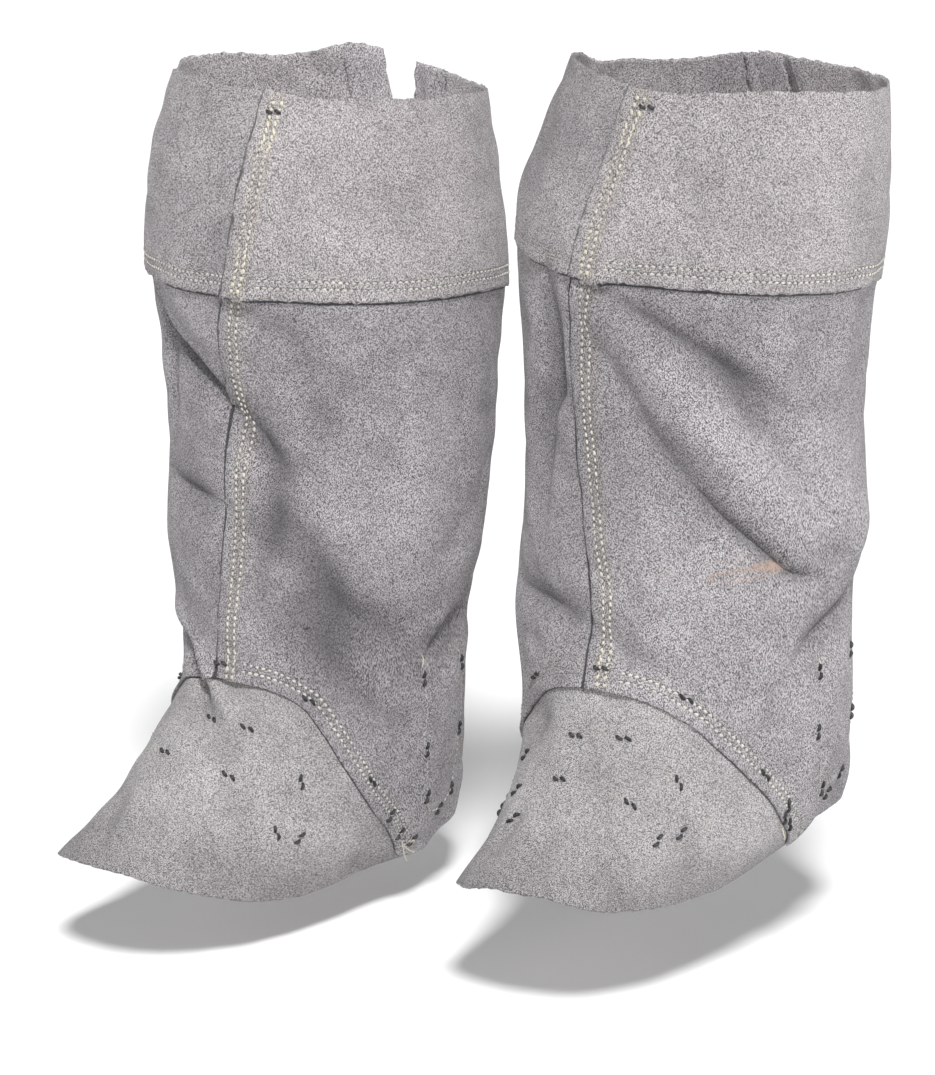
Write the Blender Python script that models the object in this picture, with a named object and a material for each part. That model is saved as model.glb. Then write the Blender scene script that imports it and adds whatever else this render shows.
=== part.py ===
"""A pair of knee-high welding leggings in grey split leather, worn and standing open.

Each legging is cut as a flared vamp over the boot, two leg panels that lap at the front and the
back, and two panels of a knee cuff that lap in the same places and over the top of the leg. Inside
the cuff a facing strip finishes each back edge. The wearer faces -Y, and the origin is the middle
of the wearer's right leg at the ankle, where the boot's shaft and instep carry the legging.

A point of the leather is named by two numbers. "around" is the angle about the leg in degrees, 0 at
the front seam, positive towards the wearer's left, and 180 at the back closure. "up" runs from 0 at
the hem to 1 at the cuff's top edge.
"""

import math
from collections import namedtuple

import bpy
import numpy as np

# Leather and seams, in metres
LEATHER = 0.0015
GAP = 0.0003
PITCH = LEATHER + GAP
FRONT_LAP = 0.016
BACK_LAP = 0.018
STEP_WIDTH = 0.010
LEG_RADIUS = 0.100

# The same widths as angles about the leg, in degrees
FRONT_HALF = math.degrees(FRONT_LAP / 2 / LEG_RADIUS)
BACK_HALF = math.degrees(BACK_LAP / 2 / LEG_RADIUS)
STEP = math.degrees(STEP_WIDTH / LEG_RADIUS)

# Where the pieces end, as angles around and shares of the height
CORNER = 95.0
TUCK_END = 104.0
SEAM_LAP_UP = 0.034
LEG_TOP_UP = 0.050
FACING_FOOT_UP = 0.062
FACING_COLUMNS = 4
TUCK_FOOT_UP = 0.010
TUCK_LEAST_UP = 0.004
BODY_COLUMN = 9.5
VAMP_ROWS = 9
LEG_ROWS = 19
CUFF_ROWS = 6

# The instep seam: the leg panels' lower edge over the vamp, from the front to the rear corner
INSTEP_SEAM = (
    (0, 0.304), (15, 0.298), (30, 0.278), (45, 0.240), (60, 0.197), (75, 0.147), (84, 0.108),
    (90, 0.062), (CORNER, 0.008), (TUCK_END, 0.0), (190, 0.0),
)

Section = namedtuple("Section", "up z_toe z_over z_under z_heel front back over under full turn")
Fold = namedtuple("Fold", "around_from up_from around_to up_to width depth")
Edge = namedtuple("Edge", "around rise lean")
Legging = namedtuple("Legging", "side stance_m toe_out_deg sections folds hem rim cuff_edge opening_deg")

# Sections of each legging, from the hem up: heights above the floor and reaches from the leg's middle
RIGHT_SECTIONS = (
    Section(0.00, 0.074, 0.048, 0.047, 0.066, 0.214, 0.093, 0.058, 0.074, 2.7, -5),
    Section(0.10, 0.099, 0.074, 0.079, 0.091, 0.168, 0.084, 0.070, 0.069, 2.5, -2),
    Section(0.20, 0.131, 0.113, 0.116, 0.121, 0.132, 0.080, 0.079, 0.070, 2.3, 1),
    Section(0.30, 0.160, 0.156, 0.155, 0.156, 0.105, 0.079, 0.084, 0.070, 2.1, 6),
    Section(0.40, 0.197, 0.196, 0.193, 0.196, 0.100, 0.082, 0.086, 0.087, 2.0, 5),
    Section(0.52, 0.251, 0.247, 0.246, 0.246, 0.099, 0.091, 0.097, 0.099, 2.0, 7),
    Section(0.64, 0.310, 0.306, 0.308, 0.301, 0.094, 0.097, 0.101, 0.099, 2.0, 7),
    Section(0.76, 0.374, 0.371, 0.377, 0.360, 0.099, 0.102, 0.104, 0.107, 2.0, 7),
    Section(0.84, 0.418, 0.416, 0.425, 0.406, 0.103, 0.105, 0.107, 0.114, 2.0, 13),
    Section(0.92, 0.466, 0.462, 0.474, 0.460, 0.096, 0.106, 0.104, 0.111, 2.0, 15.5),
    Section(1.00, 0.514, 0.510, 0.522, 0.515, 0.080, 0.107, 0.094, 0.101, 2.0, 18.5),
)
LEFT_SECTIONS = (
    Section(0.00, 0.083, 0.070, 0.047, 0.071, 0.203, 0.092, 0.070, 0.075, 2.7, -6),
    Section(0.10, 0.111, 0.090, 0.081, 0.095, 0.166, 0.086, 0.081, 0.074, 2.5, -2),
    Section(0.20, 0.144, 0.124, 0.119, 0.127, 0.138, 0.083, 0.089, 0.078, 2.3, 4),
    Section(0.30, 0.182, 0.166, 0.161, 0.167, 0.123, 0.081, 0.091, 0.093, 2.1, 5),
    Section(0.40, 0.226, 0.213, 0.210, 0.211, 0.117, 0.083, 0.090, 0.105, 2.0, 5),
    Section(0.52, 0.281, 0.271, 0.273, 0.268, 0.109, 0.091, 0.096, 0.102, 2.0, -1),
    Section(0.64, 0.339, 0.332, 0.341, 0.327, 0.105, 0.094, 0.091, 0.104, 2.0, -6),
    Section(0.76, 0.400, 0.392, 0.414, 0.389, 0.106, 0.097, 0.095, 0.109, 2.0, -8),
    Section(0.84, 0.442, 0.435, 0.459, 0.435, 0.104, 0.098, 0.103, 0.111, 2.0, -4),
    Section(0.92, 0.486, 0.481, 0.499, 0.483, 0.097, 0.095, 0.106, 0.100, 2.0, 2),
    Section(1.00, 0.532, 0.529, 0.539, 0.533, 0.089, 0.088, 0.107, 0.084, 2.0, 9),
)

# The largest folds: from one place on the leather to another, how wide and how deep (out is positive)
RIGHT_FOLDS = (
    Fold(-45, 0.770, -2, 0.700, 0.015, -0.010),
    Fold(0, 0.700, 26, 0.600, 0.020, -0.004),
    Fold(-48, 0.590, -6, 0.545, 0.016, -0.005),
    Fold(10, 0.445, 74, 0.250, 0.024, -0.006),
    Fold(58, 0.760, 72, 0.420, 0.020, 0.004),
    Fold(112, 0.400, 80, 0.310, 0.014, -0.006),
    Fold(-40, 0.360, -2, 0.265, 0.014, 0.003),
    Fold(-75, 0.660, -125, 0.560, 0.020, -0.005),
    Fold(-95, 0.440, -150, 0.340, 0.018, -0.006),
    Fold(165, 0.640, 120, 0.520, 0.022, -0.005),
)
LEFT_FOLDS = (
    Fold(-21, 0.780, -25, 0.520, 0.014, -0.009),
    Fold(8, 0.780, 74, 0.670, 0.017, -0.005),
    Fold(22, 0.720, 82, 0.480, 0.020, 0.005),
    Fold(32, 0.650, 76, 0.500, 0.016, -0.007),
    Fold(84, 0.560, 112, 0.490, 0.020, 0.006),
    Fold(-44, 0.430, 8, 0.355, 0.016, -0.005),
    Fold(106, 0.425, 68, 0.355, 0.014, -0.006),
    Fold(-70, 0.700, -120, 0.600, 0.020, -0.005),
    Fold(-100, 0.430, -155, 0.350, 0.018, -0.006),
    Fold(170, 0.600, 128, 0.480, 0.022, -0.005),
)

# The hem's drop to the corners where the vamp meets the leg panels, in the same terms as the rim
RIGHT_HEM = (
    Edge(-186, 0.007, 0.002),
    Edge(-165, 0.007, 0.002),
    Edge(-148, 0.003, 0.002),
    Edge(-130, -0.005, 0.002),
    Edge(-118, -0.013, 0.000),
    Edge(-106, -0.018, -0.001),
    Edge(-92, -0.018, -0.001),
    Edge(-75, -0.017, 0.000),
    Edge(-45, -0.011, 0.002),
    Edge(-15, -0.004, 0.004),
    Edge(15, -0.005, 0.003),
    Edge(45, -0.012, 0.002),
    Edge(75, -0.020, 0.000),
    Edge(92, -0.014, -0.002),
    Edge(106, -0.014, -0.002),
    Edge(118, -0.007, 0.001),
    Edge(130, -0.006, 0.004),
    Edge(148, 0.002, 0.004),
    Edge(165, 0.006, 0.003),
    Edge(186, 0.007, 0.002),
)
LEFT_HEM = (
    Edge(-186, 0.003, 0.003),
    Edge(-165, 0.003, 0.003),
    Edge(-148, 0.005, 0.003),
    Edge(-130, 0.004, 0.002),
    Edge(-118, 0.001, 0.000),
    Edge(-106, -0.005, -0.001),
    Edge(-92, -0.011, -0.001),
    Edge(-75, -0.012, 0.001),
    Edge(-45, -0.007, 0.003),
    Edge(-15, -0.002, 0.004),
    Edge(15, -0.002, 0.003),
    Edge(45, -0.009, 0.002),
    Edge(75, -0.008, 0.000),
    Edge(92, 0.000, -0.003),
    Edge(106, 0.010, -0.003),
    Edge(118, 0.013, 0.002),
    Edge(130, 0.015, 0.008),
    Edge(148, 0.009, 0.008),
    Edge(165, 0.003, 0.004),
    Edge(186, 0.003, 0.003),
)

# The cuff's uneven top edge: how far it rises and how far it leans out at each place around
RIGHT_RIM = (
    Edge(-186, 0.005, 0.001),
    Edge(-166, 0.010, 0.001),
    Edge(-140, 0.001, 0.004),
    Edge(-110, 0.002, 0.006),
    Edge(-80, 0.000, -0.003),
    Edge(-50, 0.006, 0.001),
    Edge(-20, 0.004, -0.002),
    Edge(10, 0.001, -0.003),
    Edge(40, 0.002, -0.004),
    Edge(75, 0.002, -0.006),
    Edge(110, -0.003, -0.007),
    Edge(140, -0.005, -0.003),
    Edge(166, 0.000, 0.001),
    Edge(186, 0.005, 0.001),
)
LEFT_RIM = (
    Edge(-186, 0.000, -0.001),
    Edge(-166, -0.002, -0.001),
    Edge(-140, -0.009, -0.001),
    Edge(-110, -0.011, -0.004),
    Edge(-80, 0.000, -0.009),
    Edge(-50, 0.003, -0.009),
    Edge(-20, 0.001, -0.006),
    Edge(10, -0.005, -0.001),
    Edge(40, -0.001, 0.000),
    Edge(75, -0.002, -0.001),
    Edge(110, -0.003, -0.002),
    Edge(140, -0.004, -0.001),
    Edge(166, -0.002, -0.001),
    Edge(186, 0.000, -0.001),
)

LEGGINGS = (
    Legging("right", (0.0, 0.0), 0.4, RIGHT_SECTIONS, RIGHT_FOLDS, RIGHT_HEM, RIGHT_RIM, 0.806, 10.5),
    Legging("left", (0.228, 0.082), 4.3, LEFT_SECTIONS, LEFT_FOLDS, LEFT_HEM, LEFT_RIM, 0.800, 0.0),
)

# The origin's height above the floor that the boots stand on
ANKLE_HEIGHT = 0.200
RIM_FROM_UP = 0.78
CUFF_METRES_PER_UP = 0.58
HEM_TO_UP = 0.30
OPENING_FROM_UP = 0.86
OPENING_FROM_DEGREES = 90
FOLD_STEPS = 8
FOLD_AT_ENDS = 0.35

# Layers of leather that the over cuff panel climbs at its front lap and over the facings at the back
CUFF_OVER_FRONT = 2
CUFF_OVER_BACK = 3.2

LEATHER_COLOUR = (0.46, 0.45, 0.47, 1.0)
LEATHER_ROUGHNESS = 0.95


def smooth_between(at, stops, values):
    """A smooth curve through the values at the stops that never overshoots, straight beyond both ends."""
    stops = np.asarray(stops, float)
    values = np.asarray(values, float)
    beyond = at - np.clip(at, stops[0], stops[-1])
    at = at - beyond
    rises = np.diff(values) / np.diff(stops)
    before, after = rises[:-1], rises[1:]
    same_way = before * after > 0
    inner = np.where(same_way, 2 * before * after / np.where(same_way, before + after, 1.0), 0.0)
    slopes = np.concatenate([rises[:1], inner, rises[-1:]])
    index = np.clip(np.searchsorted(stops, at, side="right") - 1, 0, len(stops) - 2)
    width = stops[index + 1] - stops[index]
    t = (at - stops[index]) / width
    start = values[index] * (1 + 2 * t) * (1 - t) ** 2 + slopes[index] * width * t * (1 - t) ** 2
    end = values[index + 1] * t * t * (3 - 2 * t) + slopes[index + 1] * width * t * t * (t - 1)
    return start + end + beyond * np.where(beyond < 0, slopes[0], slopes[-1])


def eased(t):
    """0 before 0, 1 after 1, and a soft step between them."""
    t = np.clip(t, 0.0, 1.0)
    return t * t * (3 - 2 * t)


def along_edge(around, table, column):
    """A hem's or rim's table read at any angle. The two ends are the back edges of the two sides."""
    return smooth_between(around, [row.around for row in table], [getattr(row, column) for row in table])


def plain_surface(legging, around, up):
    """Where the leather lies before its folds, in the legging's own frame: floor at z 0, toe to -y."""
    stops = [s.up for s in legging.sections]
    table = {name: smooth_between(up, stops, [getattr(s, name) for s in legging.sections])
             for name in Section._fields[1:]}
    angle = np.radians(around + table["turn"])
    sine, cosine = np.sin(angle), np.cos(angle)
    in_front = cosine > 0
    power = np.where(in_front, 2 / table["full"], 1.0)
    x = np.where(sine > 0, table["over"], table["under"]) * np.sign(sine) * np.abs(sine) ** power
    y = -np.where(in_front, table["front"], table["back"]) * np.sign(cosine) * np.abs(cosine) ** power
    z_side = np.where(sine > 0, table["z_over"], table["z_under"])
    z_end = np.where(in_front, table["z_toe"], table["z_heel"])
    z = z_side * sine ** 2 + z_end * cosine ** 2
    outward = np.stack([sine, -cosine, np.zeros_like(sine)], axis=-1)
    points = np.stack([x, y, z], axis=-1)
    rim_share = eased((up - RIM_FROM_UP) / (1 - RIM_FROM_UP))
    hem_share = eased(1 - up / HEM_TO_UP)
    rim_lean, hem_lean = along_edge(around, legging.rim, "lean"), along_edge(around, legging.hem, "lean")
    lean = rim_share * rim_lean + hem_share * hem_lean
    points[..., 2] += hem_share * along_edge(around, legging.hem, "rise")
    return points + outward * lean[..., None]


def normals_of(surface, legging, around, up, d_around=2.0, d_up=0.012):
    """The outward direction of a surface, from its slope along both numbers."""
    along = surface(legging, around + d_around, up) - surface(legging, around - d_around, up)
    upward = surface(legging, around, up + d_up) - surface(legging, around, up - d_up)
    normal = np.cross(along, upward)
    return normal / np.linalg.norm(normal, axis=-1, keepdims=True)


def distance_to_path(points, path):
    """The distance to a path of straight stretches, and the share along it of the nearest place."""
    nearest = np.full(points.shape[:-1], np.inf)
    share = np.zeros(points.shape[:-1])
    for i, (start, end) in enumerate(zip(path[:-1], path[1:])):
        stretch = end - start
        t = np.clip(((points - start) @ stretch) / (stretch @ stretch), 0, 1)
        away = np.linalg.norm(points - start - t[..., None] * stretch, axis=-1)
        share = np.where(away < nearest, (i + t) / (len(path) - 1), share)
        nearest = np.minimum(nearest, away)
    return nearest, share


def folded_surface(legging, around, up):
    """The leather with its folds: each a soft trough or ridge that fades towards its ends."""
    points = plain_surface(legging, around, up)
    moved = np.zeros(points.shape[:-1])
    for fold in legging.folds:
        t = np.linspace(0, 1, FOLD_STEPS + 1)
        path = plain_surface(legging, fold.around_from + (fold.around_to - fold.around_from) * t,
                             fold.up_from + (fold.up_to - fold.up_from) * t)
        away, share = distance_to_path(points, path)
        fade = FOLD_AT_ENDS + (1 - FOLD_AT_ENDS) * np.sin(math.pi * share)
        moved += fold.depth * np.exp(-(away / fold.width) ** 2) * fade
    return points + normals_of(plain_surface, legging, around, up) * moved[..., None]


def placed(legging, points):
    """From the legging's own frame to the pair's."""
    turn = math.radians(legging.toe_out_deg)
    x = points[..., 0] * math.cos(turn) - points[..., 1] * math.sin(turn) + legging.stance_m[0]
    y = points[..., 0] * math.sin(turn) + points[..., 1] * math.cos(turn) + legging.stance_m[1]
    return np.stack([x, y, points[..., 2] - ANKLE_HEIGHT], axis=-1)


def leather_at(legging, around, up, layer):
    """Points of a piece's inner face, that many layers of leather out from the innermost."""
    normal = normals_of(folded_surface, legging, around, up)
    return placed(legging, folded_surface(legging, around, up) + normal * (layer * PITCH)[..., None])


def seam_height(around):
    """The instep seam's height up the leather at any angle."""
    stops, heights = zip(*INSTEP_SEAM)
    return np.maximum(smooth_between(np.abs(around), stops, heights), 0.0)


def lap_share(around, centre, half):
    """1 on the lap about the centre, 0 beyond the step beside it."""
    off = np.abs((around - centre + 180) % 360 - 180)
    return eased((half + STEP - off) / STEP)


def leg_layer(around, over):
    """The layer of a leg panel: the over panel rises by one where it laps the other panel."""
    layer = np.ones_like(around)
    if over:
        layer = layer + np.maximum(lap_share(around, 0, FRONT_HALF), lap_share(around, 180, BACK_HALF))
    return layer


def cuff_layer(around, over):
    """The layer of a cuff panel, above both leg panels, with room for the facings at the back."""
    front, back = lap_share(around, 0, FRONT_HALF), lap_share(around, 180, BACK_HALF)
    return 2 + (CUFF_OVER_FRONT if over else 1) * front + (CUFF_OVER_BACK if over else 1) * back


def body_columns():
    """Angles from the front lap to the back lap that all pieces share, so that layers lie parallel."""
    start, end = FRONT_HALF + STEP, 180 - BACK_HALF - STEP
    count = round((end - start) / BODY_COLUMN)
    even = [start + (end - start) * i / count for i in range(count + 1)]
    nearest = min(range(1, count), key=lambda i: abs(even[i] - CORNER))
    even[nearest:nearest + 2] = [CORNER, TUCK_END]
    return [-FRONT_HALF, 0.0, FRONT_HALF, *even, 180 - BACK_HALF]


def side_columns(legging, up, over):
    """Angles of one side's columns, from its front edge to its back edge, opened at the cuff's top."""
    opened = legging.opening_deg * eased((up - OPENING_FROM_UP) / (1 - OPENING_FROM_UP))
    back = 180 + BACK_HALF
    start = OPENING_FROM_DEGREES
    columns = [c - opened * max(0.0, (c - start) / (back - start)) for c in [*body_columns(), 180, back]]
    return columns if over else [-c for c in reversed(columns)]


def new_material():
    material = bpy.data.materials.new("grey_split_leather")
    material.use_nodes = True
    shader = material.node_tree.nodes["Principled BSDF"]
    shader.inputs["Base Color"].default_value = LEATHER_COLOUR
    shader.inputs["Roughness"].default_value = LEATHER_ROUGHNESS
    material.diffuse_color = LEATHER_COLOUR
    return material


def leather_piece(name, points, material):
    """One piece of leather: a sheet through the grid of points, given its thickness outwards."""
    columns, rows = points.shape[:2]
    faces = []
    for i in range(columns - 1):
        for j in range(rows - 1):
            a, b = i * rows + j, (i + 1) * rows + j
            faces += [(a, b, b + 1), (a, b + 1, a + 1)]
    mesh = bpy.data.meshes.new(name)
    mesh.from_pydata([tuple(p) for p in points.reshape(-1, 3)], [], faces)
    mesh.materials.append(material)
    mesh.shade_smooth()
    mesh.update()
    piece = bpy.data.objects.new(name, mesh)
    bpy.context.scene.collection.objects.link(piece)
    wall = piece.modifiers.new("leather", "SOLIDIFY")
    wall.thickness = LEATHER
    wall.offset = 1.0
    return piece


def make_vamp(legging, material):
    """The flare over the boot's instep and toe, tucked under both leg panels along the instep seam."""
    half = [c for c in body_columns() if 0 < c <= TUCK_END]
    columns = np.array([-c for c in reversed(half)] + [0.0] + half)
    seam = seam_height(columns)
    floor = np.where(np.abs(columns) > CORNER, TUCK_FOOT_UP, 0.0)
    shares = np.linspace(0, 1, VAMP_ROWS)[None, :]
    up = floor[:, None] + (np.maximum(seam, floor + TUCK_LEAST_UP) - floor)[:, None] * shares
    up = np.concatenate([up, up[:, -1:] + SEAM_LAP_UP], axis=1)
    around = np.repeat(columns[:, None], up.shape[1], axis=1)
    points = leather_at(legging, around, up, np.zeros_like(up))
    return leather_piece(f"{legging.side}_vamp", points, material)


def make_leg_panel(legging, over, material):
    """Half of the leg, from the instep seam and the hem up to its lap under the cuff."""
    name = f"{legging.side}_leg_{'over' if over else 'under'}"
    columns = side_columns(legging, np.zeros(1), over)
    angles = np.array([c[0] for c in columns])
    low = seam_height(angles)
    shares = np.linspace(0, 1, LEG_ROWS)[None, :]
    up = (low + SEAM_LAP_UP)[:, None] + (legging.cuff_edge - low - SEAM_LAP_UP)[:, None] * shares
    up = np.concatenate([low[:, None], up, up[:, -1:] + LEG_TOP_UP], axis=1)
    around = np.repeat(angles[:, None], up.shape[1], axis=1)
    return leather_piece(name, leather_at(legging, around, up, leg_layer(around, over)), material)


def rim_up(legging, around):
    """Where the cuff is cut off at the top, as a height up the leather."""
    return 1.0 + along_edge(around, legging.rim, "rise") / CUFF_METRES_PER_UP


def cuff_grid(legging, over):
    """The cuff's columns and rows: its lower edge, the leg's top under it, the facings' foot, the rim."""
    foot = legging.cuff_edge + FACING_FOOT_UP
    shares = np.linspace(0, 1, CUFF_ROWS)
    under_cuff = [legging.cuff_edge, legging.cuff_edge + LEG_TOP_UP]
    nominal = np.concatenate([under_cuff, foot + (1 - foot) * shares])
    around = np.stack(side_columns(legging, nominal, over), axis=0)
    stretch = (rim_up(legging, around) - foot) / (1 - foot)
    return around, np.where(nominal > foot, foot + (nominal - foot) * stretch, nominal)


def make_cuff_panel(legging, over, material):
    """Half of the knee cuff, lapped over the top of the leg and open at the back where it parts."""
    name = f"{legging.side}_cuff_{'over' if over else 'under'}"
    around, up = cuff_grid(legging, over)
    return leather_piece(name, leather_at(legging, around, up, cuff_layer(around, over)), material)


def make_facing(legging, over, material):
    """The strip inside the cuff's back edge, above the top of the leg panels."""
    name = f"{legging.side}_facing_{'over' if over else 'under'}"
    around, up = cuff_grid(legging, over)
    strip = slice(-FACING_COLUMNS, None) if over else slice(0, FACING_COLUMNS)
    around, up = around[strip, 2:], up[strip, 2:]
    return leather_piece(name, leather_at(legging, around, up, cuff_layer(around, over) - 1), material)


def main():
    for old in list(bpy.data.objects):
        bpy.data.objects.remove(old)
    material = new_material()
    for legging in LEGGINGS:
        make_vamp(legging, material)
        for over in (False, True):
            make_leg_panel(legging, over, material)
            make_cuff_panel(legging, over, material)
            make_facing(legging, over, material)


main()
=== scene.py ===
# %% [markdown]
# # A pair of welding leggings in grey split leather
# The leggings are worn over boots, so they keep the round shape of a leg with nobody in them. Each
# one is a flared vamp over the boot, two leg panels and two panels of a knee cuff, all cut from
# leather 1.5 mm thick and sewn in lapped seams. This file dresses the plain solids of that design:
# it makes each piece of leather again from the same sizes with many more points, adds the finer
# creases, sews and staples it, and gives the leather its napped surface.

# %% Load the fixed frame
import math
from collections import namedtuple

import bpy
import numpy as np
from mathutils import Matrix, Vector


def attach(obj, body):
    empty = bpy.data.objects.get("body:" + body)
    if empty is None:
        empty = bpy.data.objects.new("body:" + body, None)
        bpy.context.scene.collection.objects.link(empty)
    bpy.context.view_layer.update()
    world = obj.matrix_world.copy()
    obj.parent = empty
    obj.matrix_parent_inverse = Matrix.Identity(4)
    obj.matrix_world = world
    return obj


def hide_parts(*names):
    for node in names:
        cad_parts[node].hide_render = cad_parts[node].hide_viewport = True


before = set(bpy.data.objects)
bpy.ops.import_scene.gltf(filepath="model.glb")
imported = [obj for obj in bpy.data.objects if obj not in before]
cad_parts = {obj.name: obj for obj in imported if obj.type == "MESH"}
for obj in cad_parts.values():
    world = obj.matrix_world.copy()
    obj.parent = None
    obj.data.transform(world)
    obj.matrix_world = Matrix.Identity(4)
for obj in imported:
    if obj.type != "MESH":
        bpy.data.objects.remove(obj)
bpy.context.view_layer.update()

# %% [markdown]
# ## Camera, floor and light
# A long lens from 2.3 m away keeps the two leggings nearly the same size, as a product photograph
# does. The floor lies where the boots would stand, 200 mm under the origin. Suede has no gloss, so
# its nap only shows when light grazes it: a light from the front right shapes the folds, two weaker
# ones from the sides reach into the hollows and between the two leggings without a shadow, and a dim
# world fills the rest.

# %% Camera
CAMERA_AZIMUTH = 40
CAMERA_ELEVATION = 13
CAMERA_DISTANCE = 2.3
CAMERA_TARGET = Vector((0.089, 0.027, 0.039))
LENS_MM = 124.8
SENSOR_MM = 36


def add_object(name, data):
    """A new object in the scene."""
    made = bpy.data.objects.new(name, data)
    bpy.context.scene.collection.objects.link(made)
    return made


def aimed(name, data, azimuth, elevation):
    """A camera or light looking at the target from angles in degrees; azimuth 0 is the front, -y."""
    azimuth, elevation = math.radians(azimuth), math.radians(elevation)
    level = math.cos(elevation)
    away = Vector((math.sin(azimuth) * level, -math.cos(azimuth) * level, math.sin(elevation)))
    made = add_object(name, data)
    made.location = CAMERA_TARGET + away * CAMERA_DISTANCE
    made.rotation_euler = (-away).to_track_quat("-Z", "Y").to_euler()
    return made


lens = bpy.data.cameras.new("camera")
lens.lens = LENS_MM
lens.sensor_width = SENSOR_MM
camera = aimed("camera", lens, CAMERA_AZIMUTH, CAMERA_ELEVATION)
bpy.context.scene.camera = camera
print("camera at", [round(c, 3) for c in camera.location])

# %% Lights: name, azimuth, elevation, softness in degrees, strength and whether it casts shadows
Sunlight = namedtuple("Sunlight", "name azimuth elevation softness strength shadows")
SUNLIGHTS = (
    Sunlight("key", 44, 50, 10, 3.3, True),
    Sunlight("left_fill", -32, 16, 40, 0.75, False),
    Sunlight("right_fill", 104, 18, 40, 1.6, False),
)
WORLD_GREY = (0.97, 0.98, 1.0, 1.0)
WORLD_STRENGTH = 0.22

for sunlight in SUNLIGHTS:
    light = bpy.data.lights.new(sunlight.name, "SUN")
    light.angle = math.radians(sunlight.softness)
    light.energy = sunlight.strength
    light.use_shadow = sunlight.shadows
    aimed(sunlight.name, light, sunlight.azimuth, sunlight.elevation)

world = bpy.data.worlds.new("studio")
world.use_nodes = True
world.node_tree.nodes["Background"].inputs["Color"].default_value = WORLD_GREY
world.node_tree.nodes["Background"].inputs["Strength"].default_value = WORLD_STRENGTH
bpy.context.scene.world = world
bpy.context.scene.view_settings.view_transform = "Standard"
print("lights:", ", ".join(sunlight.name for sunlight in SUNLIGHTS))

# %% [markdown]
# ## Shader and node expressions
# Node trees are easier to read as sums than as boxes. The class below wraps one socket of a tree,
# so that `1 - mask * 0.3` adds its Math nodes by itself. `node` adds any other node: its settings
# are set first, because some of them change which sockets the node has.

# %% The socket class


class Value:
    """A socket of a node tree that can stand in a Python expression."""

    def __init__(self, tree, socket):
        self.tree = tree
        self.socket = socket

    def math(self, operation, *inputs):
        return node(self.tree, "ShaderNodeMath", {"operation": operation}, dict(enumerate(inputs)))

    def __add__(self, other):
        return self.math("ADD", self, other)

    def __sub__(self, other):
        return self.math("SUBTRACT", self, other)

    def __rsub__(self, other):
        return self.math("SUBTRACT", other, self)

    def __mul__(self, other):
        return self.math("MULTIPLY", self, other)

    def __truediv__(self, other):
        return self.math("DIVIDE", self, other)

    __radd__ = __add__
    __rmul__ = __mul__

    def __abs__(self):
        return self.math("ABSOLUTE", self)

    def step(self, start, end):
        """0 at start, 1 at end, and a soft step between them."""
        return node(self.tree, "ShaderNodeMapRange", {"interpolation_type": "SMOOTHSTEP"},
                    {"Value": self, "From Min": start, "From Max": end})


print("operators: + - * / and abs")

# %% Nodes and materials


def feed(tree, made, inputs):
    """Gives a node's inputs their values, by a link where the value is a socket."""
    for key, value in inputs.items():
        if isinstance(value, Value):
            tree.links.new(value.socket, made.inputs[key])
        else:
            made.inputs[key].default_value = value


def node(tree, kind, settings=None, inputs=None, output=0):
    """Adds one node, with its settings and then its inputs, and gives back one of its outputs."""
    made = tree.nodes.new(kind)
    for name, value in (settings or {}).items():
        setattr(made, name, value)
    feed(tree, made, inputs or {})
    return Value(tree, made.outputs[output])


def mixed(tree, share, first, second, blend="MIX"):
    """Two colours mixed by a share from 0 to 1."""
    return node(tree, "ShaderNodeMix", {"data_type": "RGBA", "blend_type": blend},
                {0: share, 6: first, 7: second}, 2)


def noise(tree, place, scale, detail=3.0, roughness=0.55):
    """Blender's noise at a scale in features per metre, about 0.5 on average."""
    return node(tree, "ShaderNodeTexNoise", {}, {
        "Vector": place, "Scale": scale, "Detail": detail, "Roughness": roughness})


def attribute(tree, name):
    """A number that goes with each point of a piece."""
    return node(tree, "ShaderNodeAttribute", {"attribute_name": name}, output=2)


def new_material(name):
    """A material with its node tree and the object's own coordinates in it."""
    material = bpy.data.materials.new(name)
    material.use_nodes = True
    tree = material.node_tree
    return material, tree, node(tree, "ShaderNodeTexCoord", output=3)


def finish(tree, inputs, height=None, distance=0.0, strength=1.0):
    """Feeds a material's surface shader, with a bump where a height is given."""
    if height is not None:
        inputs["Normal"] = node(tree, "ShaderNodeBump", {}, {
            "Strength": strength, "Distance": distance, "Height": height})
    feed(tree, tree.nodes["Principled BSDF"], inputs)


print("node expressions ready")

# %% [markdown]
# ## The floor
# The floor is a plain pale plane, far larger than the view. It is stage, not part of the object.

# %% Floor
FLOOR_HEIGHT = -0.200
FLOOR_HALF = 30.0
FLOOR_COLOUR = (0.92, 0.92, 0.92, 1.0)
FLOOR_ROUGHNESS = 0.9
SQUARE = ((-1, -1), (1, -1), (1, 1), (-1, 1))

floor_mesh = bpy.data.meshes.new("floor")
corners = [(x * FLOOR_HALF, y * FLOOR_HALF, FLOOR_HEIGHT) for x, y in SQUARE]
floor_mesh.from_pydata(corners, [], [(0, 1, 2, 3)])
floor = add_object("floor", floor_mesh)
floor_paint, floor_tree, _ = new_material("floor_paint")
finish(floor_tree, {"Base Color": FLOOR_COLOUR, "Roughness": FLOOR_ROUGHNESS})
floor_mesh.materials.append(floor_paint)
print("floor", FLOOR_HALF * 2, "m wide")

# %% [markdown]
# ## The pattern of the leather
# A point of the leather is named by two numbers. "around" is the angle about the leg in degrees, 0
# at the front seam, positive towards the wearer's left, and 180 at the back closure. "up" runs from
# 0 at the hem to 1 at the cuff's top edge. Every piece, stitch and staple below is placed by them,
# so all of them follow the same folds. The sizes repeat the solids' own, so the new leather lies
# exactly where the solids are.

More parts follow.
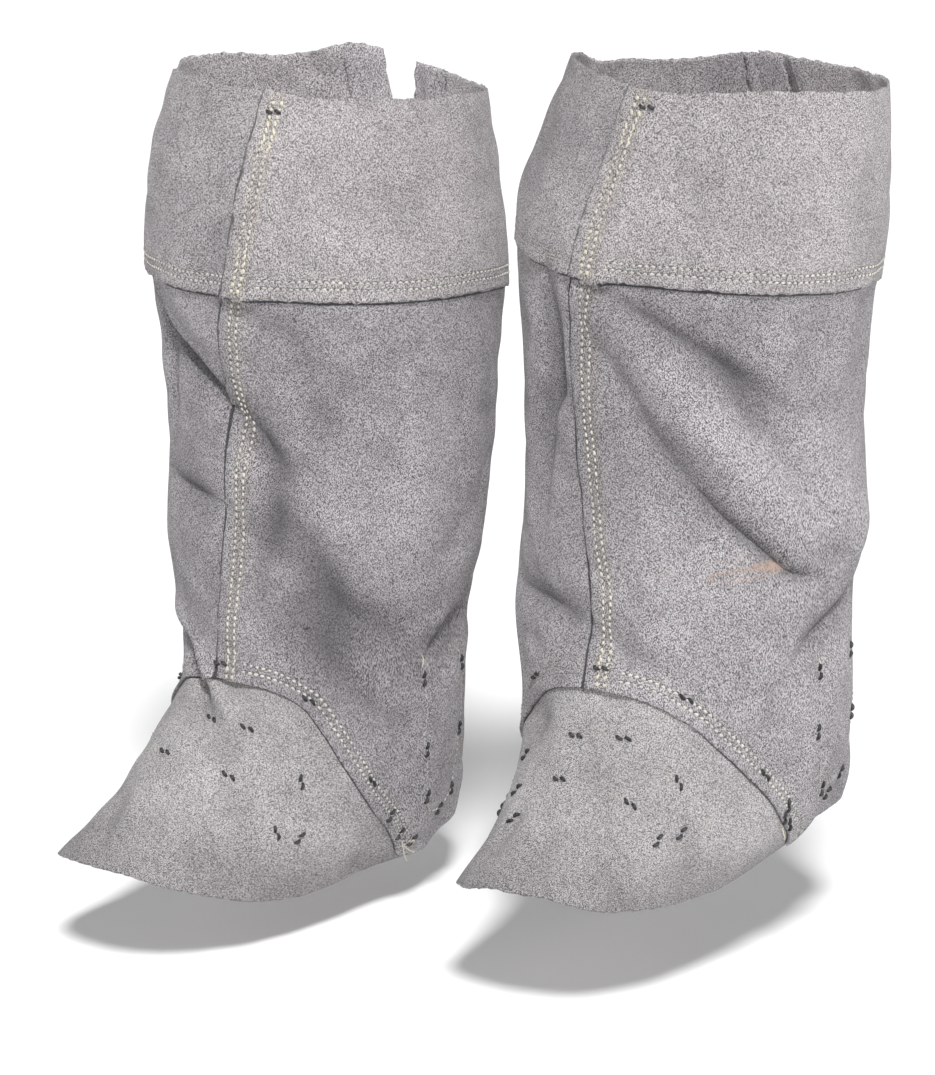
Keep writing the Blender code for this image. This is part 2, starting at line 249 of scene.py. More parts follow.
# %% Sizes of the leather and its seams, in metres
LEATHER = 0.0015
GAP = 0.0003
PITCH = LEATHER + GAP
FRONT_LAP = 0.016
BACK_LAP = 0.018
STEP_WIDTH = 0.010
LEG_RADIUS = 0.100

METRES_PER_DEGREE = math.radians(1) * LEG_RADIUS
FRONT_HALF = FRONT_LAP / 2 / METRES_PER_DEGREE
BACK_HALF = BACK_LAP / 2 / METRES_PER_DEGREE
STEP = STEP_WIDTH / METRES_PER_DEGREE
BACK_EDGE = 180 + BACK_HALF

CORNER = 95.0
TUCK_END = 104.0
TUCK_EASE = 4.0
TUCK_FOOT_UP = 0.010
TUCK_LEAST_UP = 0.004
SEAM_LAP_UP = 0.034
LEG_TOP_UP = 0.050
FACING_FOOT_UP = 0.062
ANKLE_HEIGHT = 0.200
RIM_FROM_UP = 0.78
CUFF_METRES_PER_UP = 0.58
LEG_METRES_PER_UP = 0.50
HEM_TO_UP = 0.30
OPENING_FROM_UP = 0.86

INSTEP_SEAM = (
    (0, 0.304), (15, 0.298), (30, 0.278), (45, 0.240), (60, 0.197), (75, 0.147), (84, 0.108),
    (90, 0.062), (CORNER, 0.008), (TUCK_END, 0.0), (190, 0.0),
)
print("laps at the front", FRONT_LAP, "and the back", BACK_LAP)

# %% [markdown]
# The tables are in millimetres. A section has its height up the leather, then the heights above the
# floor of its four sides, its reaches to the front, the back and both sides, how square its front
# is, and its turn in degrees. A hem or a rim has, at each angle, how far it rises and leans out.

# %% Sections of each legging
Section = namedtuple("Section", "up z_toe z_over z_under z_heel front back over under full turn")
Edge = namedtuple("Edge", "around rise lean")


def sections(rows):
    """The rows of a legging's sections, in metres."""
    return [Section(up, *(size / 1000 for size in sizes), full, turn) for up, *sizes, full, turn in rows]


def edges(rows):
    """The rows of a hem or a rim, in metres."""
    return [Edge(around, rise / 1000, lean / 1000) for around, rise, lean in rows]


RIGHT_SECTIONS = sections((
    (0.00,  74,  48,  47,  66, 214,  93,  58,  74, 2.7, -5),
    (0.10,  99,  74,  79,  91, 168,  84,  70,  69, 2.5, -2),
    (0.20, 131, 113, 116, 121, 132,  80,  79,  70, 2.3, 1),
    (0.30, 160, 156, 155, 156, 105,  79,  84,  70, 2.1, 6),
    (0.40, 197, 196, 193, 196, 100,  82,  86,  87, 2.0, 5),
    (0.52, 251, 247, 246, 246,  99,  91,  97,  99, 2.0, 7),
    (0.64, 310, 306, 308, 301,  94,  97, 101,  99, 2.0, 7),
    (0.76, 374, 371, 377, 360,  99, 102, 104, 107, 2.0, 7),
    (0.84, 418, 416, 425, 406, 103, 105, 107, 114, 2.0, 13),
    (0.92, 466, 462, 474, 460,  96, 106, 104, 111, 2.0, 15.5),
    (1.00, 514, 510, 522, 515,  80, 107,  94, 101, 2.0, 18.5),
))
LEFT_SECTIONS = sections((
    (0.00,  83,  70,  47,  71, 203,  92,  70,  75, 2.7, -6),
    (0.10, 111,  90,  81,  95, 166,  86,  81,  74, 2.5, -2),
    (0.20, 144, 124, 119, 127, 138,  83,  89,  78, 2.3, 4),
    (0.30, 182, 166, 161, 167, 123,  81,  91,  93, 2.1, 5),
    (0.40, 226, 213, 210, 211, 117,  83,  90, 105, 2.0, 5),
    (0.52, 281, 271, 273, 268, 109,  91,  96, 102, 2.0, -1),
    (0.64, 339, 332, 341, 327, 105,  94,  91, 104, 2.0, -6),
    (0.76, 400, 392, 414, 389, 106,  97,  95, 109, 2.0, -8),
    (0.84, 442, 435, 459, 435, 104,  98, 103, 111, 2.0, -4),
    (0.92, 486, 481, 499, 483,  97,  95, 106, 100, 2.0, 2),
    (1.00, 532, 529, 539, 533,  89,  88, 107,  84, 2.0, 9),
))
print("sections:", len(RIGHT_SECTIONS), "and", len(LEFT_SECTIONS))

# %% The hem's drop to its corners, and the cuff's uneven top edge
RIGHT_HEM = edges((
    (-186, 7, 2), (-165, 7, 2), (-148, 3, 2), (-130, -5, 2), (-118, -13, 0), (-106, -18, -1),
    (-92, -18, -1), (-75, -17, 0), (-45, -11, 2), (-15, -4, 4), (15, -5, 3), (45, -12, 2), (75, -20, 0),
    (92, -14, -2), (106, -14, -2), (118, -7, 1), (130, -6, 4), (148, 2, 4), (165, 6, 3), (186, 7, 2),
))
LEFT_HEM = edges((
    (-186, 3, 3), (-165, 3, 3), (-148, 5, 3), (-130, 4, 2), (-118, 1, 0), (-106, -5, -1), (-92, -11, -1),
    (-75, -12, 1), (-45, -7, 3), (-15, -2, 4), (15, -2, 3), (45, -9, 2), (75, -8, 0), (92, 0, -3),
    (106, 10, -3), (118, 13, 2), (130, 15, 8), (148, 9, 8), (165, 3, 4), (186, 3, 3),
))
RIGHT_RIM = edges((
    (-186, 5, 1), (-166, 10, 1), (-140, 1, 4), (-110, 2, 6), (-80, 0, -3), (-50, 6, 1), (-20, 4, -2),
    (10, 1, -3), (40, 2, -4), (75, 2, -6), (110, -3, -7), (140, -5, -3), (166, 0, 1), (186, 5, 1),
))
LEFT_RIM = edges((
    (-186, 0, -1), (-166, -2, -1), (-140, -9, -1), (-110, -11, -4), (-80, 0, -9), (-50, 3, -9),
    (-20, 1, -6), (10, -5, -1), (40, -1, 0), (75, -2, -1), (110, -3, -2), (140, -4, -1), (166, -2, -1),
    (186, 0, -1),
))
print("edges:", len(RIGHT_HEM), "places round each hem,", len(RIGHT_RIM), "round each rim")

# %% [markdown]
# ## The folds and creases
# Stiff leather on a leg settles into a few large folds, and sharper creases form in them. Each row
# below has a width, a depth (out is positive) and a roll in millimetres, and then its path, with
# heights up the leather in thousandths. The roll is how far the leather swells on the path's left
# side and sinks on its right, which makes a fold that hangs over itself. The first rows of each
# legging are the large folds, and the rest are the finer ones that only show on the dense leather.
# The folds at the back are plain ones.

# %% Creases of each legging: width, depth, roll, and the places on the path
Crease = namedtuple("Crease", "width depth roll places")
Legging = namedtuple("Legging", "side stance_m toe_out_deg sections creases hem rim cuff_edge opening_deg")


def upped(places):
    """A path's places with their heights up the leather from 0 to 1."""
    return [(around, up / 1000) for around, up in places]


def creases(rows):
    """The rows of a legging's creases, in metres."""
    return [Crease(width / 1000, depth / 1000, roll / 1000, upped(places))
            for width, depth, roll, places in rows]


RIGHT_CREASES = creases((
    (14, -10, 0, ((-46, 775), (-31, 738), (-17, 712), (-4, 688))),
    (16, -5, 0, ((-2, 685), (3, 667), (13, 633), (24, 598))),
    (16, -5, 0, ((-48, 590), (-6, 545))),
    (22, -5, 0, ((10, 445), (74, 250))),
    (18, -9, 0, ((2, 545), (21, 520), (34, 468), (44, 425), (64, 375), (80, 335))),
    (20, 4, 0, ((58, 760), (72, 420))),
    (14, -6, 0, ((112, 400), (80, 310))),
    (14, 3, 0, ((-40, 360), (-2, 265))),
    (20, -5, 0, ((-75, 660), (-125, 560))),
    (18, -6, 0, ((-95, 440), (-150, 340))),
    (22, -5, 0, ((165, 640), (120, 520))),
    (6, -4, 6.2, ((-54, 802), (-42, 769), (-31, 741), (-17, 715), (-5, 686))),
    (9, -2, 2.2, ((-2, 690), (8, 655), (20, 606))),
    (10, -3, 0, ((0, 785), (9, 777), (21, 763), (30, 742))),
    (8, -7, 0, ((-47, 765), (-41, 720), (-39, 675), (-41, 622))),
    (7, -3, 2.2, ((-45, 585), (-25, 577), (-10, 566))),
    (10, -1, 1.6, ((34, 385), (59, 290), (76, 245))),
    (6, -2, 2, ((108, 392), (94, 368), (82, 325))),
    (7, -5, 6.8, ((-46, 385), (-23, 355), (-17, 325), (-11, 292), (-4, 265), (3, 248))),
    (8, -3, 1.5, ((-18, 140), (-8, 98), (-2, 70), (4, 30))),
    (16, -5, 0, ((33, 413), (41, 365), (45, 297))),
    (12, -7, 0, ((5, 650), (13, 600), (15, 555), (12, 500), (11, 440))),
    (11, -2, 0.8, ((20, 780), (30, 700), (34, 600))),
    (12, 2, 0, ((85, 770), (92, 600), (88, 450))),
    (12, -2, 1, ((98, 560), (82, 500), (70, 480))),
    (9, -2, 1, ((30, 520), (44, 450), (50, 400))),
    (14, -2, 0, ((20, 970), (40, 900), (66, 880))),
    (12, -2, 0, ((-70, 900), (-50, 860), (-30, 850))),
    (10, -2, 1, ((-110, 700), (-140, 640))),
    (10, -2, 1.2, ((150, 420), (124, 350))),
    (12, -2, 1, ((20, 200), (40, 120), (52, 50))),
))
LEFT_CREASES = creases((
    (13, -9, 0, ((-21, 785), (-18, 730), (-18, 675), (-24, 635), (-28, 530))),
    (15, -6, 0, ((10, 785), (23, 763), (38, 725), (53, 705), (69, 680))),
    (18, 5, 0, ((12, 745), (23, 715), (37, 657), (54, 595), (64, 547), (73, 512))),
    (14, -8, 0, ((2, 752), (15, 697), (26, 632), (37, 578), (47, 538), (58, 503), (68, 477), (80, 462))),
    (15, -6, 0, ((47, 750), (52, 705), (56, 668), (66, 618), (80, 530))),
    (20, 6, 0, ((84, 560), (112, 490))),
    (13, -7, 0, ((-50, 427), (-28, 415), (-14, 398), (-8, 382))),
    (11, -4, 0, ((-5, 397), (4, 375), (12, 354), (24, 334))),
    (14, -6, 0, ((108, 424), (83, 394), (66, 364))),
    (20, -5, 0, ((-70, 700), (-120, 600))),
    (18, -6, 0, ((-100, 430), (-155, 350))),
    (22, -5, 0, ((170, 600), (128, 480))),
    (7, -3, -2, ((-20, 800), (-15, 730), (-15, 675), (-21, 635), (-27, 545))),
    (8, -2, 2, ((9, 790), (25, 765), (41, 740), (72, 677))),
    (8, -1, 1.5, ((4, 740), (15, 695), (27, 630), (38, 578))),
    (6, -3, 2.8, ((40, 565), (47, 540), (58, 505), (67, 479), (78, 463))),
    (6, -1, 1, ((52, 480), (66, 470), (74, 466))),
    (7, -2, 1.5, ((-51, 428), (-30, 417), (-13, 398))),
    (12, -6, 0, ((-36, 262), (-27, 245), (-26, 222))),
    (7, -1, -2, ((-15, 128), (-12, 95), (-12, 55))),
    (7, -1, 1.5, ((-27, 343), (-39, 352))),
    (6, -2, 2.5, ((102, 418), (84, 392), (70, 358))),
    (9, -1, 1.2, ((104, 540), (94, 495), (106, 450))),
    (10, -2, 1, ((84, 770), (78, 700), (62, 640))),
    (12, -2, 0, ((20, 920), (40, 860), (60, 850))),
    (10, -2, 1, ((-115, 720), (-142, 650))),
    (10, -2, 1.2, ((148, 420), (122, 350))),
    (12, -2, 1, ((-20, 210), (0, 130), (10, 60))),
    (10, -1, 1, ((40, 150), (56, 90), (64, 40))),
))
LEGGINGS = (
    Legging("right", (0.0, 0.0), 0.4, RIGHT_SECTIONS, RIGHT_CREASES, RIGHT_HEM, RIGHT_RIM, 0.806, 10.5),
    Legging("left", (0.228, 0.082), 4.3, LEFT_SECTIONS, LEFT_CREASES, LEFT_HEM, LEFT_RIM, 0.800, 0.0),
)
print("creases:", len(RIGHT_CREASES), "and", len(LEFT_CREASES))

# %% [markdown]
# ## From the pattern to space
# The surface is worked out in steps: the sections give a round form, the hem and rim tables lean
# its edges, the creases push it in and out along its own outward direction, and a small seeded
# unevenness takes away the last of the perfect curve. Layers of leather are then stacked along that
# direction, one pitch for each layer, so pieces that lap never cut into each other.

# %% Curves and steps


def smooth_between(at, stops, values):
    """A smooth curve through the values at the stops that never overshoots, straight beyond both ends."""
    stops = np.asarray(stops, float)
    values = np.asarray(values, float)
    beyond = at - np.clip(at, stops[0], stops[-1])
    at = at - beyond
    rises = np.diff(values) / np.diff(stops)
    before, after = rises[:-1], rises[1:]
    same_way = before * after > 0
    inner = np.where(same_way, 2 * before * after / np.where(same_way, before + after, 1.0), 0.0)
    slopes = np.concatenate([rises[:1], inner, rises[-1:]])
    index = np.clip(np.searchsorted(stops, at, side="right") - 1, 0, len(stops) - 2)
    width = stops[index + 1] - stops[index]
    t = (at - stops[index]) / width
    start = values[index] * (1 + 2 * t) * (1 - t) ** 2 + slopes[index] * width * t * (1 - t) ** 2
    end = values[index + 1] * t * t * (3 - 2 * t) + slopes[index + 1] * width * t * t * (t - 1)
    return start + end + beyond * np.where(beyond < 0, slopes[0], slopes[-1])


def curve_through(places, count):
    """A smooth curve through rows of numbers, read at evenly spaced shares: one array per column."""
    stops, share = np.linspace(0, 1, len(places)), np.linspace(0, 1, count)
    return [smooth_between(share, stops, column) for column in zip(*places)]


def eased(t):
    """0 before 0, 1 after 1, and a soft step between them."""
    t = np.clip(t, 0.0, 1.0)
    return t * t * (3 - 2 * t)


def along_edge(around, table, column):
    """A hem's or rim's table read at any angle."""
    return smooth_between(around, [row.around for row in table], [getattr(row, column) for row in table])


def ripple(points, seed, longest, shortest, count=14):
    """A soft seeded unevenness from -1 to 1: waves of many lengths and directions added up."""
    random = np.random.default_rng(seed)
    total = np.zeros(points.shape[:-1])
    for length in np.geomspace(longest, shortest, count):
        heading = random.normal(size=points.shape[-1])
        heading /= np.linalg.norm(heading)
        total += np.sin(points @ heading * (2 * math.pi / length) + random.uniform(0, 2 * math.pi))
    return total / math.sqrt(count)


def unit(vectors):
    """The vectors at length 1."""
    return vectors / np.linalg.norm(vectors, axis=-1, keepdims=True)


print("a soft step at a half:", eased(np.array(0.5)))

# %% The leather before its folds


def plain_surface(legging, around, up):
    """Where the leather lies before its folds, in the legging's own frame: floor at z 0, toe to -y."""
    stops = [s.up for s in legging.sections]
    table = {name: smooth_between(up, stops, [getattr(s, name) for s in legging.sections])
             for name in Section._fields[1:]}
    angle = np.radians(around + table["turn"])
    sine, cosine = np.sin(angle), np.cos(angle)
    in_front = cosine > 0
    power = np.where(in_front, 2 / table["full"], 1.0)
    x = np.where(sine > 0, table["over"], table["under"]) * np.sign(sine) * np.abs(sine) ** power
    y = -np.where(in_front, table["front"], table["back"]) * np.sign(cosine) * np.abs(cosine) ** power
    z_side = np.where(sine > 0, table["z_over"], table["z_under"])
    z_end = np.where(in_front, table["z_toe"], table["z_heel"])
    z = z_side * sine ** 2 + z_end * cosine ** 2
    outward = np.stack([sine, -cosine, np.zeros_like(sine)], axis=-1)
    rim_share = eased((up - RIM_FROM_UP) / (1 - RIM_FROM_UP))
    hem_share = eased(1 - up / HEM_TO_UP)
    lean = rim_share * along_edge(around, legging.rim, "lean")
    lean = lean + hem_share * along_edge(around, legging.hem, "lean")
    z = z + hem_share * along_edge(around, legging.hem, "rise")
    return np.stack([x, y, z], axis=-1) + outward * lean[..., None]


toe = plain_surface(LEGGINGS[0], np.array(0.0), np.array(0.0))
print("right toe", [round(float(c), 3) for c in toe], "m from the middle of the leg on the floor")

# %% Folds, creases and unevenness
UNEVEN_DEPTH = 0.0007
UNEVEN_LONGEST = 0.110
UNEVEN_SHORTEST = 0.022
UNEVEN_SEEDS = {"right": 11, "left": 12}
CREASE_POINTS = 15
CREASE_REACH = 3.0
CREASE_END_SHARE = 0.35
ROLL_GAIN = 2.3


def distance_to_path(points, path, outward):
    """The signed distance to a path (left of it is positive) and the share along it of the nearest place."""
    nearest = np.full(points.shape[:-1], np.inf)
    share = np.zeros(points.shape[:-1])
    side = np.ones(points.shape[:-1])
    for i, (start, end) in enumerate(zip(path[:-1], path[1:])):
        stretch = end - start
        reach = points - start
        t = np.clip((reach @ stretch) / (stretch @ stretch), 0, 1)
        away = np.linalg.norm(reach - t[..., None] * stretch, axis=-1)
        closer = away < nearest
        left = np.sign(np.sum(np.cross(stretch, reach) * outward, axis=-1))
        share = np.where(closer, (i + t) / (len(path) - 1), share)
        side = np.where(closer, left, side)
        nearest = np.minimum(nearest, away)
    return nearest * side, share


def relief(legging, points, outward):
    """How far the creases and the unevenness push the leather out at each point."""
    moved = UNEVEN_DEPTH * ripple(points, UNEVEN_SEEDS[legging.side], UNEVEN_LONGEST, UNEVEN_SHORTEST)
    for crease in legging.creases:
        path = plain_surface(legging, *curve_through(crease.places, CREASE_POINTS))
        reach = CREASE_REACH * crease.width
        near = np.all((points > path.min(axis=0) - reach) & (points < path.max(axis=0) + reach), axis=-1)
        away, share = distance_to_path(points[near], path, outward[near])
        scaled = away / crease.width
        fade = CREASE_END_SHARE + (1 - CREASE_END_SHARE) * np.sin(math.pi * share)
        moved[near] += (crease.depth + ROLL_GAIN * crease.roll * scaled) * np.exp(-scaled ** 2) * fade
    return moved


def placed(legging, points):
    """From the legging's own frame to the pair's."""
    turn = math.radians(legging.toe_out_deg)
    x = points[..., 0] * math.cos(turn) - points[..., 1] * math.sin(turn) + legging.stance_m[0]
    y = points[..., 0] * math.sin(turn) + points[..., 1] * math.cos(turn) + legging.stance_m[1]
    return np.stack([x, y, points[..., 2] - ANKLE_HEIGHT], axis=-1)


def outward_of(points):
    """The outward direction at each point of a grid, from its neighbours."""
    return unit(np.cross(np.gradient(points, axis=0), np.gradient(points, axis=1)))


print("creases reach", CREASE_REACH, "times their width")

# %% [markdown]
# ## Scuffs
# The leather has a few pinkish-brown rubs, the longest of them low on the outside of the left
# legging. Each is a path over the leather with a width and a strength.

# %% Scuffs
Scuff = namedtuple("Scuff", "side width strength places")
SCUFFS = tuple(Scuff(side, width / 1000, strength, upped(places)) for side, width, strength, places in (
    ("left", 4.2, 0.95, ((52, 477), (58, 476), (66, 474))),
    ("left", 2.6, 0.8, ((37, 467), (45, 475), (54, 477))),
    ("left", 1.4, 0.85, ((35, 461), (46, 463), (58, 466), (67, 470))),
    ("left", 1.6, 0.6, ((40, 486), (49, 490), (58, 489), (66, 481))),
    ("left", 3, 0.5, ((18, 460), (26, 465))),
    ("left", 2.4, 0.6, ((-25, 868), (-23, 850))),
    ("left", 3, 0.35, ((51, 908), (53, 896))),
    ("left", 5, 0.35, ((-21, 800), (-25, 755), (-26, 700))),
    ("right", 2.4, 0.4, ((-3, 905), (-3, 895))),
))


def scuffed(legging, points, outward):
    """How much a scuff has rubbed each point, from 0 to 1."""
    rubbed = np.zeros(points.shape[:-1])
    for scuff in (s for s in SCUFFS if s.side == legging.side):
        path = plain_surface(legging, *curve_through(scuff.places, CREASE_POINTS))
        away, _ = distance_to_path(points, path, outward)
        rubbed = np.maximum(rubbed, scuff.strength * np.exp(-(away / scuff.width) ** 2))
    return rubbed


print("scuffs:", len(SCUFFS))

# %% [markdown]
# Working out every crease again for every stitch would take minutes. The folded surface is worked
# out once for each legging on a fine grid of places, and all pieces, stitches and staples read
# their points and outward directions from it, mixed from the four nearest ones.

# %% The surface on a grid
GRID_DEGREES = 0.75
GRID_UP_STEP = 0.0025
GRID_AROUND = np.arange(-193, 193.01, GRID_DEGREES)
GRID_UP = np.arange(-0.03, 1.1, GRID_UP_STEP)
LAST_CELL = 1.001


def surface_grid(legging):
    """The folded leather of one legging: its points, outward directions and wear."""
    around, up = np.meshgrid(GRID_AROUND, GRID_UP, indexing="ij")
    plain = plain_surface(legging, around, up)
    outward = outward_of(plain)
    fold = relief(legging, plain, outward)
    points = placed(legging, plain + outward * fold[..., None])
    return {"points": points, "outward": outward_of(points), "fold": fold[..., None],
            "rubbed": scuffed(legging, plain, outward)[..., None]}


def read_grid(side, word, around, up):
    """A value of a legging's grid at any places."""
    table = grids[side][word]
    column = np.clip((around - GRID_AROUND[0]) / GRID_DEGREES, 0, len(GRID_AROUND) - LAST_CELL)
    row = np.clip((up - GRID_UP[0]) / GRID_UP_STEP, 0, len(GRID_UP) - LAST_CELL)
    i, j = column.astype(int), row.astype(int)
    s, t = (column - i)[..., None], (row - j)[..., None]
    low = table[i, j] * (1 - s) + table[i + 1, j] * s
    high = table[i, j + 1] * (1 - s) + table[i + 1, j + 1] * s
    return low * (1 - t) + high * t


def leather_at(side, around, up, height):
    """Points on the leather raised by a height in metres, and the outward direction there."""
    around, up, height = np.broadcast_arrays(np.asarray(around, float), up, height)
    outward = unit(read_grid(side, "outward", around, up))
    return read_grid(side, "points", around, up) + outward * height[..., None], outward


grids = {legging.side: surface_grid(legging) for legging in LEGGINGS}
print("grid:", grids["right"]["points"].shape)

# %% [markdown]
# ## Laps
# A lapped seam has one panel lying over the other. The panel on the wearer's left rises by one
# layer over the panel on the right, along a soft step 10 mm wide, and the cuff lies outside both.
# The same functions tell the stitches how far out to lie.

# %% Layers
CUFF_BACK_LAYERS = 3.2


def seam_height(around):
    """The instep seam: the leg panels' lower edge, as a height up the leather."""
    stops, heights = zip(*INSTEP_SEAM)
    return np.maximum(smooth_between(np.abs(around), stops, heights), 0.0)


def lap_share(around, centre, half):
    """1 on the lap about the centre, 0 beyond the step beside it."""
    off = np.abs((around - centre + 180) % 360 - 180)
    return eased((half + STEP - off) / STEP)


def leg_layer(around, over):
    """The layer of a leg panel: the over panel rises by one where it laps the other panel."""
    laps = np.maximum(lap_share(around, 0, FRONT_HALF), lap_share(around, 180, BACK_HALF))
    return 1 + laps * (1 if over else 0)


def cuff_layer(around, over):
    """The layer of a cuff panel, above both leg panels, with room for the facings at the back."""
    front, back = lap_share(around, 0, FRONT_HALF), lap_share(around, 180, BACK_HALF)
    return 2 + (2 if over else 1) * front + (CUFF_BACK_LAYERS if over else 1) * back


def rim_up(legging, around):
    """Where the cuff is cut off at the top, as a height up the leather."""
    return 1.0 + along_edge(around, legging.rim, "rise") / CUFF_METRES_PER_UP


def opened(legging, around, up):
    """The angle after the cuff's back edges have parted: nothing at the front, most at the back."""
    share = np.clip((np.abs(around) - 90) / (BACK_EDGE - 90), 0, None)
    part = legging.opening_deg * eased((up - OPENING_FROM_UP) / (1 - OPENING_FROM_UP))
    return around - np.sign(around) * part * share


print("layers at the front seam:", leg_layer(0.0, True), cuff_layer(0.0, True))

# %% [markdown]
# ## Cutting a piece of leather
# Each piece is a dense grid of points with an inner and an outer face, closed round its edge by a ring of
# points that stands a little proud and uneven, as a blade leaves split leather. The piece's UV map holds
# metres from its cut edges, so that the finish can darken the leather towards a hem or sink a row of
# stitches at an exact distance. More numbers go with each point: how far the folds move it, for the painted
# light on the ridges and painted shade in the hollows, how much a scuff has rubbed it, how many metres it
# lies inside the edge of the piece that covers it, for the painted shadow line beside that edge, and whether
# it is on a cut edge, made darker partly as painted shade, or on the inner face, painted paler as light.

# %% The shell of a piece
EDGE_PROUD = 0.00035
EDGE_WAVE_LONGEST = 0.012
EDGE_WAVE_SHORTEST = 0.0025
EDGE_SEED = 21


def ring_of(grid):
    """The outline of a grid of numbers, anticlockwise seen from outside."""
    return np.concatenate([grid[:-1, 0], grid[-1, :-1], grid[:0:-1, -1], grid[0, :0:-1]])


def leather_shell(name, inner, outer, uv, numbers, rough_edge):
    """A closed piece of leather from its two faces, with its UV map and its numbers at each point."""
    columns, rows = inner.shape[:2]
    index = np.arange(columns * rows).reshape(columns, rows)
    count = index.size
    ring = ring_of(index)
    flat_inner, flat_outer = inner.reshape(-1, 3), outer.reshape(-1, 3)
    middle = (flat_inner[ring] + flat_outer[ring]) / 2
    inside = np.clip(np.stack([ring // rows, ring % rows]), 1, [[columns - 2], [rows - 2]])
    away = unit(middle - (inner[inside[0], inside[1]] + outer[inside[0], inside[1]]) / 2)
    rough = ripple(middle, EDGE_SEED, EDGE_WAVE_LONGEST, EDGE_WAVE_SHORTEST)[:, None] * rough_edge
    flat_inner[ring] += away * rough
    flat_outer[ring] += away * rough
    points = np.concatenate([flat_inner, flat_outer, middle + away * (rough + EDGE_PROUD)])

    a, b, c, d = index[:-1, :-1], index[1:, :-1], index[1:, 1:], index[:-1, 1:]
    outside = np.stack([a, b, c, d], axis=-1).reshape(-1, 4) + count
    inside_faces = np.stack([d, c, b, a], axis=-1).reshape(-1, 4)
    mid = 2 * count + np.arange(len(ring))
    ring_next, mid_next = np.roll(ring, -1), np.roll(mid, -1)
    upper = np.stack([ring + count, mid, mid_next, ring_next + count], axis=-1)
    lower = np.stack([mid, ring, ring_next, mid_next], axis=-1)

    mesh = bpy.data.meshes.new(name)
    mesh.from_pydata(points.tolist(), [], np.concatenate([outside, inside_faces, upper, lower]).tolist())
    mesh.shade_smooth()
    uv = uv.reshape(-1, 2)
    corners_of = np.empty(len(mesh.loops), dtype=np.int32)
    mesh.loops.foreach_get("vertex_index", corners_of)
    layer = mesh.uv_layers.new(name="cut")
    layer.uv.foreach_set("vector", np.concatenate([uv, uv, uv[ring]])[corners_of].ravel())
    flat = {word: values.reshape(-1) for word, values in numbers.items()}
    numbers = {word: np.concatenate([values, values, values[ring]]) for word, values in flat.items()}
    # The inner face never gets the painted shadow line.
    numbers["covered"][:count] = -1.0
    numbers["cut_edge"] = np.repeat([0.0, 1.0], [2 * count, len(ring)])
    numbers["inner"] = np.repeat([1.0, 0.0], [count, count + len(ring)])
    for word, values in numbers.items():
        mesh.attributes.new(word, "FLOAT", "POINT").data.foreach_set("value", values)
    mesh.update()
    return add_object(name, mesh)


print("cut edges stand", EDGE_PROUD * 1000, "mm proud")

# %% [markdown]
# ## The panels
# A piece is described by its grid of places and its layer, and the next function turns them into a shell.
# The lower edge of a cuff and the cut edges of the laps lift a little from what they lie on, which casts
# part of the thin dark line beside every seam; the rest of that line is painted shadow in the colour of the
# leather beside the edge.

# %% Making a piece
pieces = {}


def make_piece(side, word, around, up, height, uv, covered, rough_edge):
    """One piece of leather as a dense closed shell, its inner face at a height over the base surface."""
    inner, _ = leather_at(side, around, up, height)
    outer, _ = leather_at(side, around, up, height + LEATHER)
    numbers = {number: read_grid(side, number, around, up) for number in ("fold", "rubbed")}
    numbers["covered"] = np.broadcast_to(covered, up.shape)
    piece = leather_shell(f"{side}_{word}_leather", inner, outer, np.stack(uv, axis=-1), numbers, rough_edge)
    normal = np.cross(outer[1:, :-1] - outer[:-1, :-1], outer[:-1, 1:] - outer[:-1, :-1])
    pieces[side, word] = piece


print("pieces made so far:", len(pieces))

# %% Edges and distances on a piece
EDGE_LIFT = 0.0006
LIFT_REACH = 0.006
LIFT_UNEVEN = 0.3
LIFT_SEED = 31
LIFT_WAVES = (0.9, 0.2, 8)
LIFT_PER_DEGREE = 0.02
LIFT_PER_UP = 5
# How far the painted shadow line beside a lap reaches out past the strip that the lap's lifted edge hides
# from the camera.
LAP_SHADE_SHIFT = 0.0022
SEAM_STEPS = 90
UP = np.array([0.0, 0.0, 1.0])
LAP_WORDS = {False: "under", True: "over"}


def lifted(distance, around, up):
    """How far an edge stands off what it lies on, fading inwards from the edge."""
    places = np.stack([around * LIFT_PER_DEGREE, up * LIFT_PER_UP], axis=-1)
    uneven = 1 - LIFT_UNEVEN + LIFT_UNEVEN * ripple(places, LIFT_SEED, *LIFT_WAVES)
    return EDGE_LIFT * uneven * np.exp(-(distance / LIFT_REACH) ** 2)


def from_front_edge(around, over):
    """Metres from a side panel's front edge along the leather."""
    return np.abs(around + (FRONT_HALF if over else -FRONT_HALF)) * METRES_PER_DEGREE


def under_lap(around):
    """Metres that a place of an under panel lies inside the over panel's front edge."""
    # The shift moves the painted shadow line out from under the lap's edge.
    return (around + FRONT_HALF) * METRES_PER_DEGREE + LAP_SHADE_SHIFT


def from_instep_seam(legging, around, up):
    """Metres above the leg panels' lower edge, square to it; less than nothing below it."""
    stops = np.linspace(-TUCK_END, TUCK_END, SEAM_STEPS)
    seam = plain_surface(legging, stops, seam_height(stops))
    around, up = np.broadcast_arrays(np.asarray(around, float), up)
    away, _ = distance_to_path(plain_surface(legging, around, up), seam, UP)
    return np.abs(away) * np.where(up < seam_height(around), -1, 1)


def side_columns(first, count, over):
    """A side panel's columns, from the first angle to its back edge; the under side's are mirrored."""
    around = np.linspace(first, BACK_EDGE, count)[:, None]
    return around if over else -around[::-1]


def rows_of(count):
    """Shares of a piece's height, one for each row."""
    return np.linspace(0, 1, count)[None, :]


def make_sides(make):
    """Makes one kind of piece for both sides of both leggings."""
    for legging in LEGGINGS:
        for over, word in LAP_WORDS.items():
            make(legging, over, word)


print("edges lift", EDGE_LIFT * 1000, "mm")

# %% Vamps
VAMP_COLUMNS = 190
VAMP_ROWS = 84
VAMP_EDGE_ROUGH = 0.0004


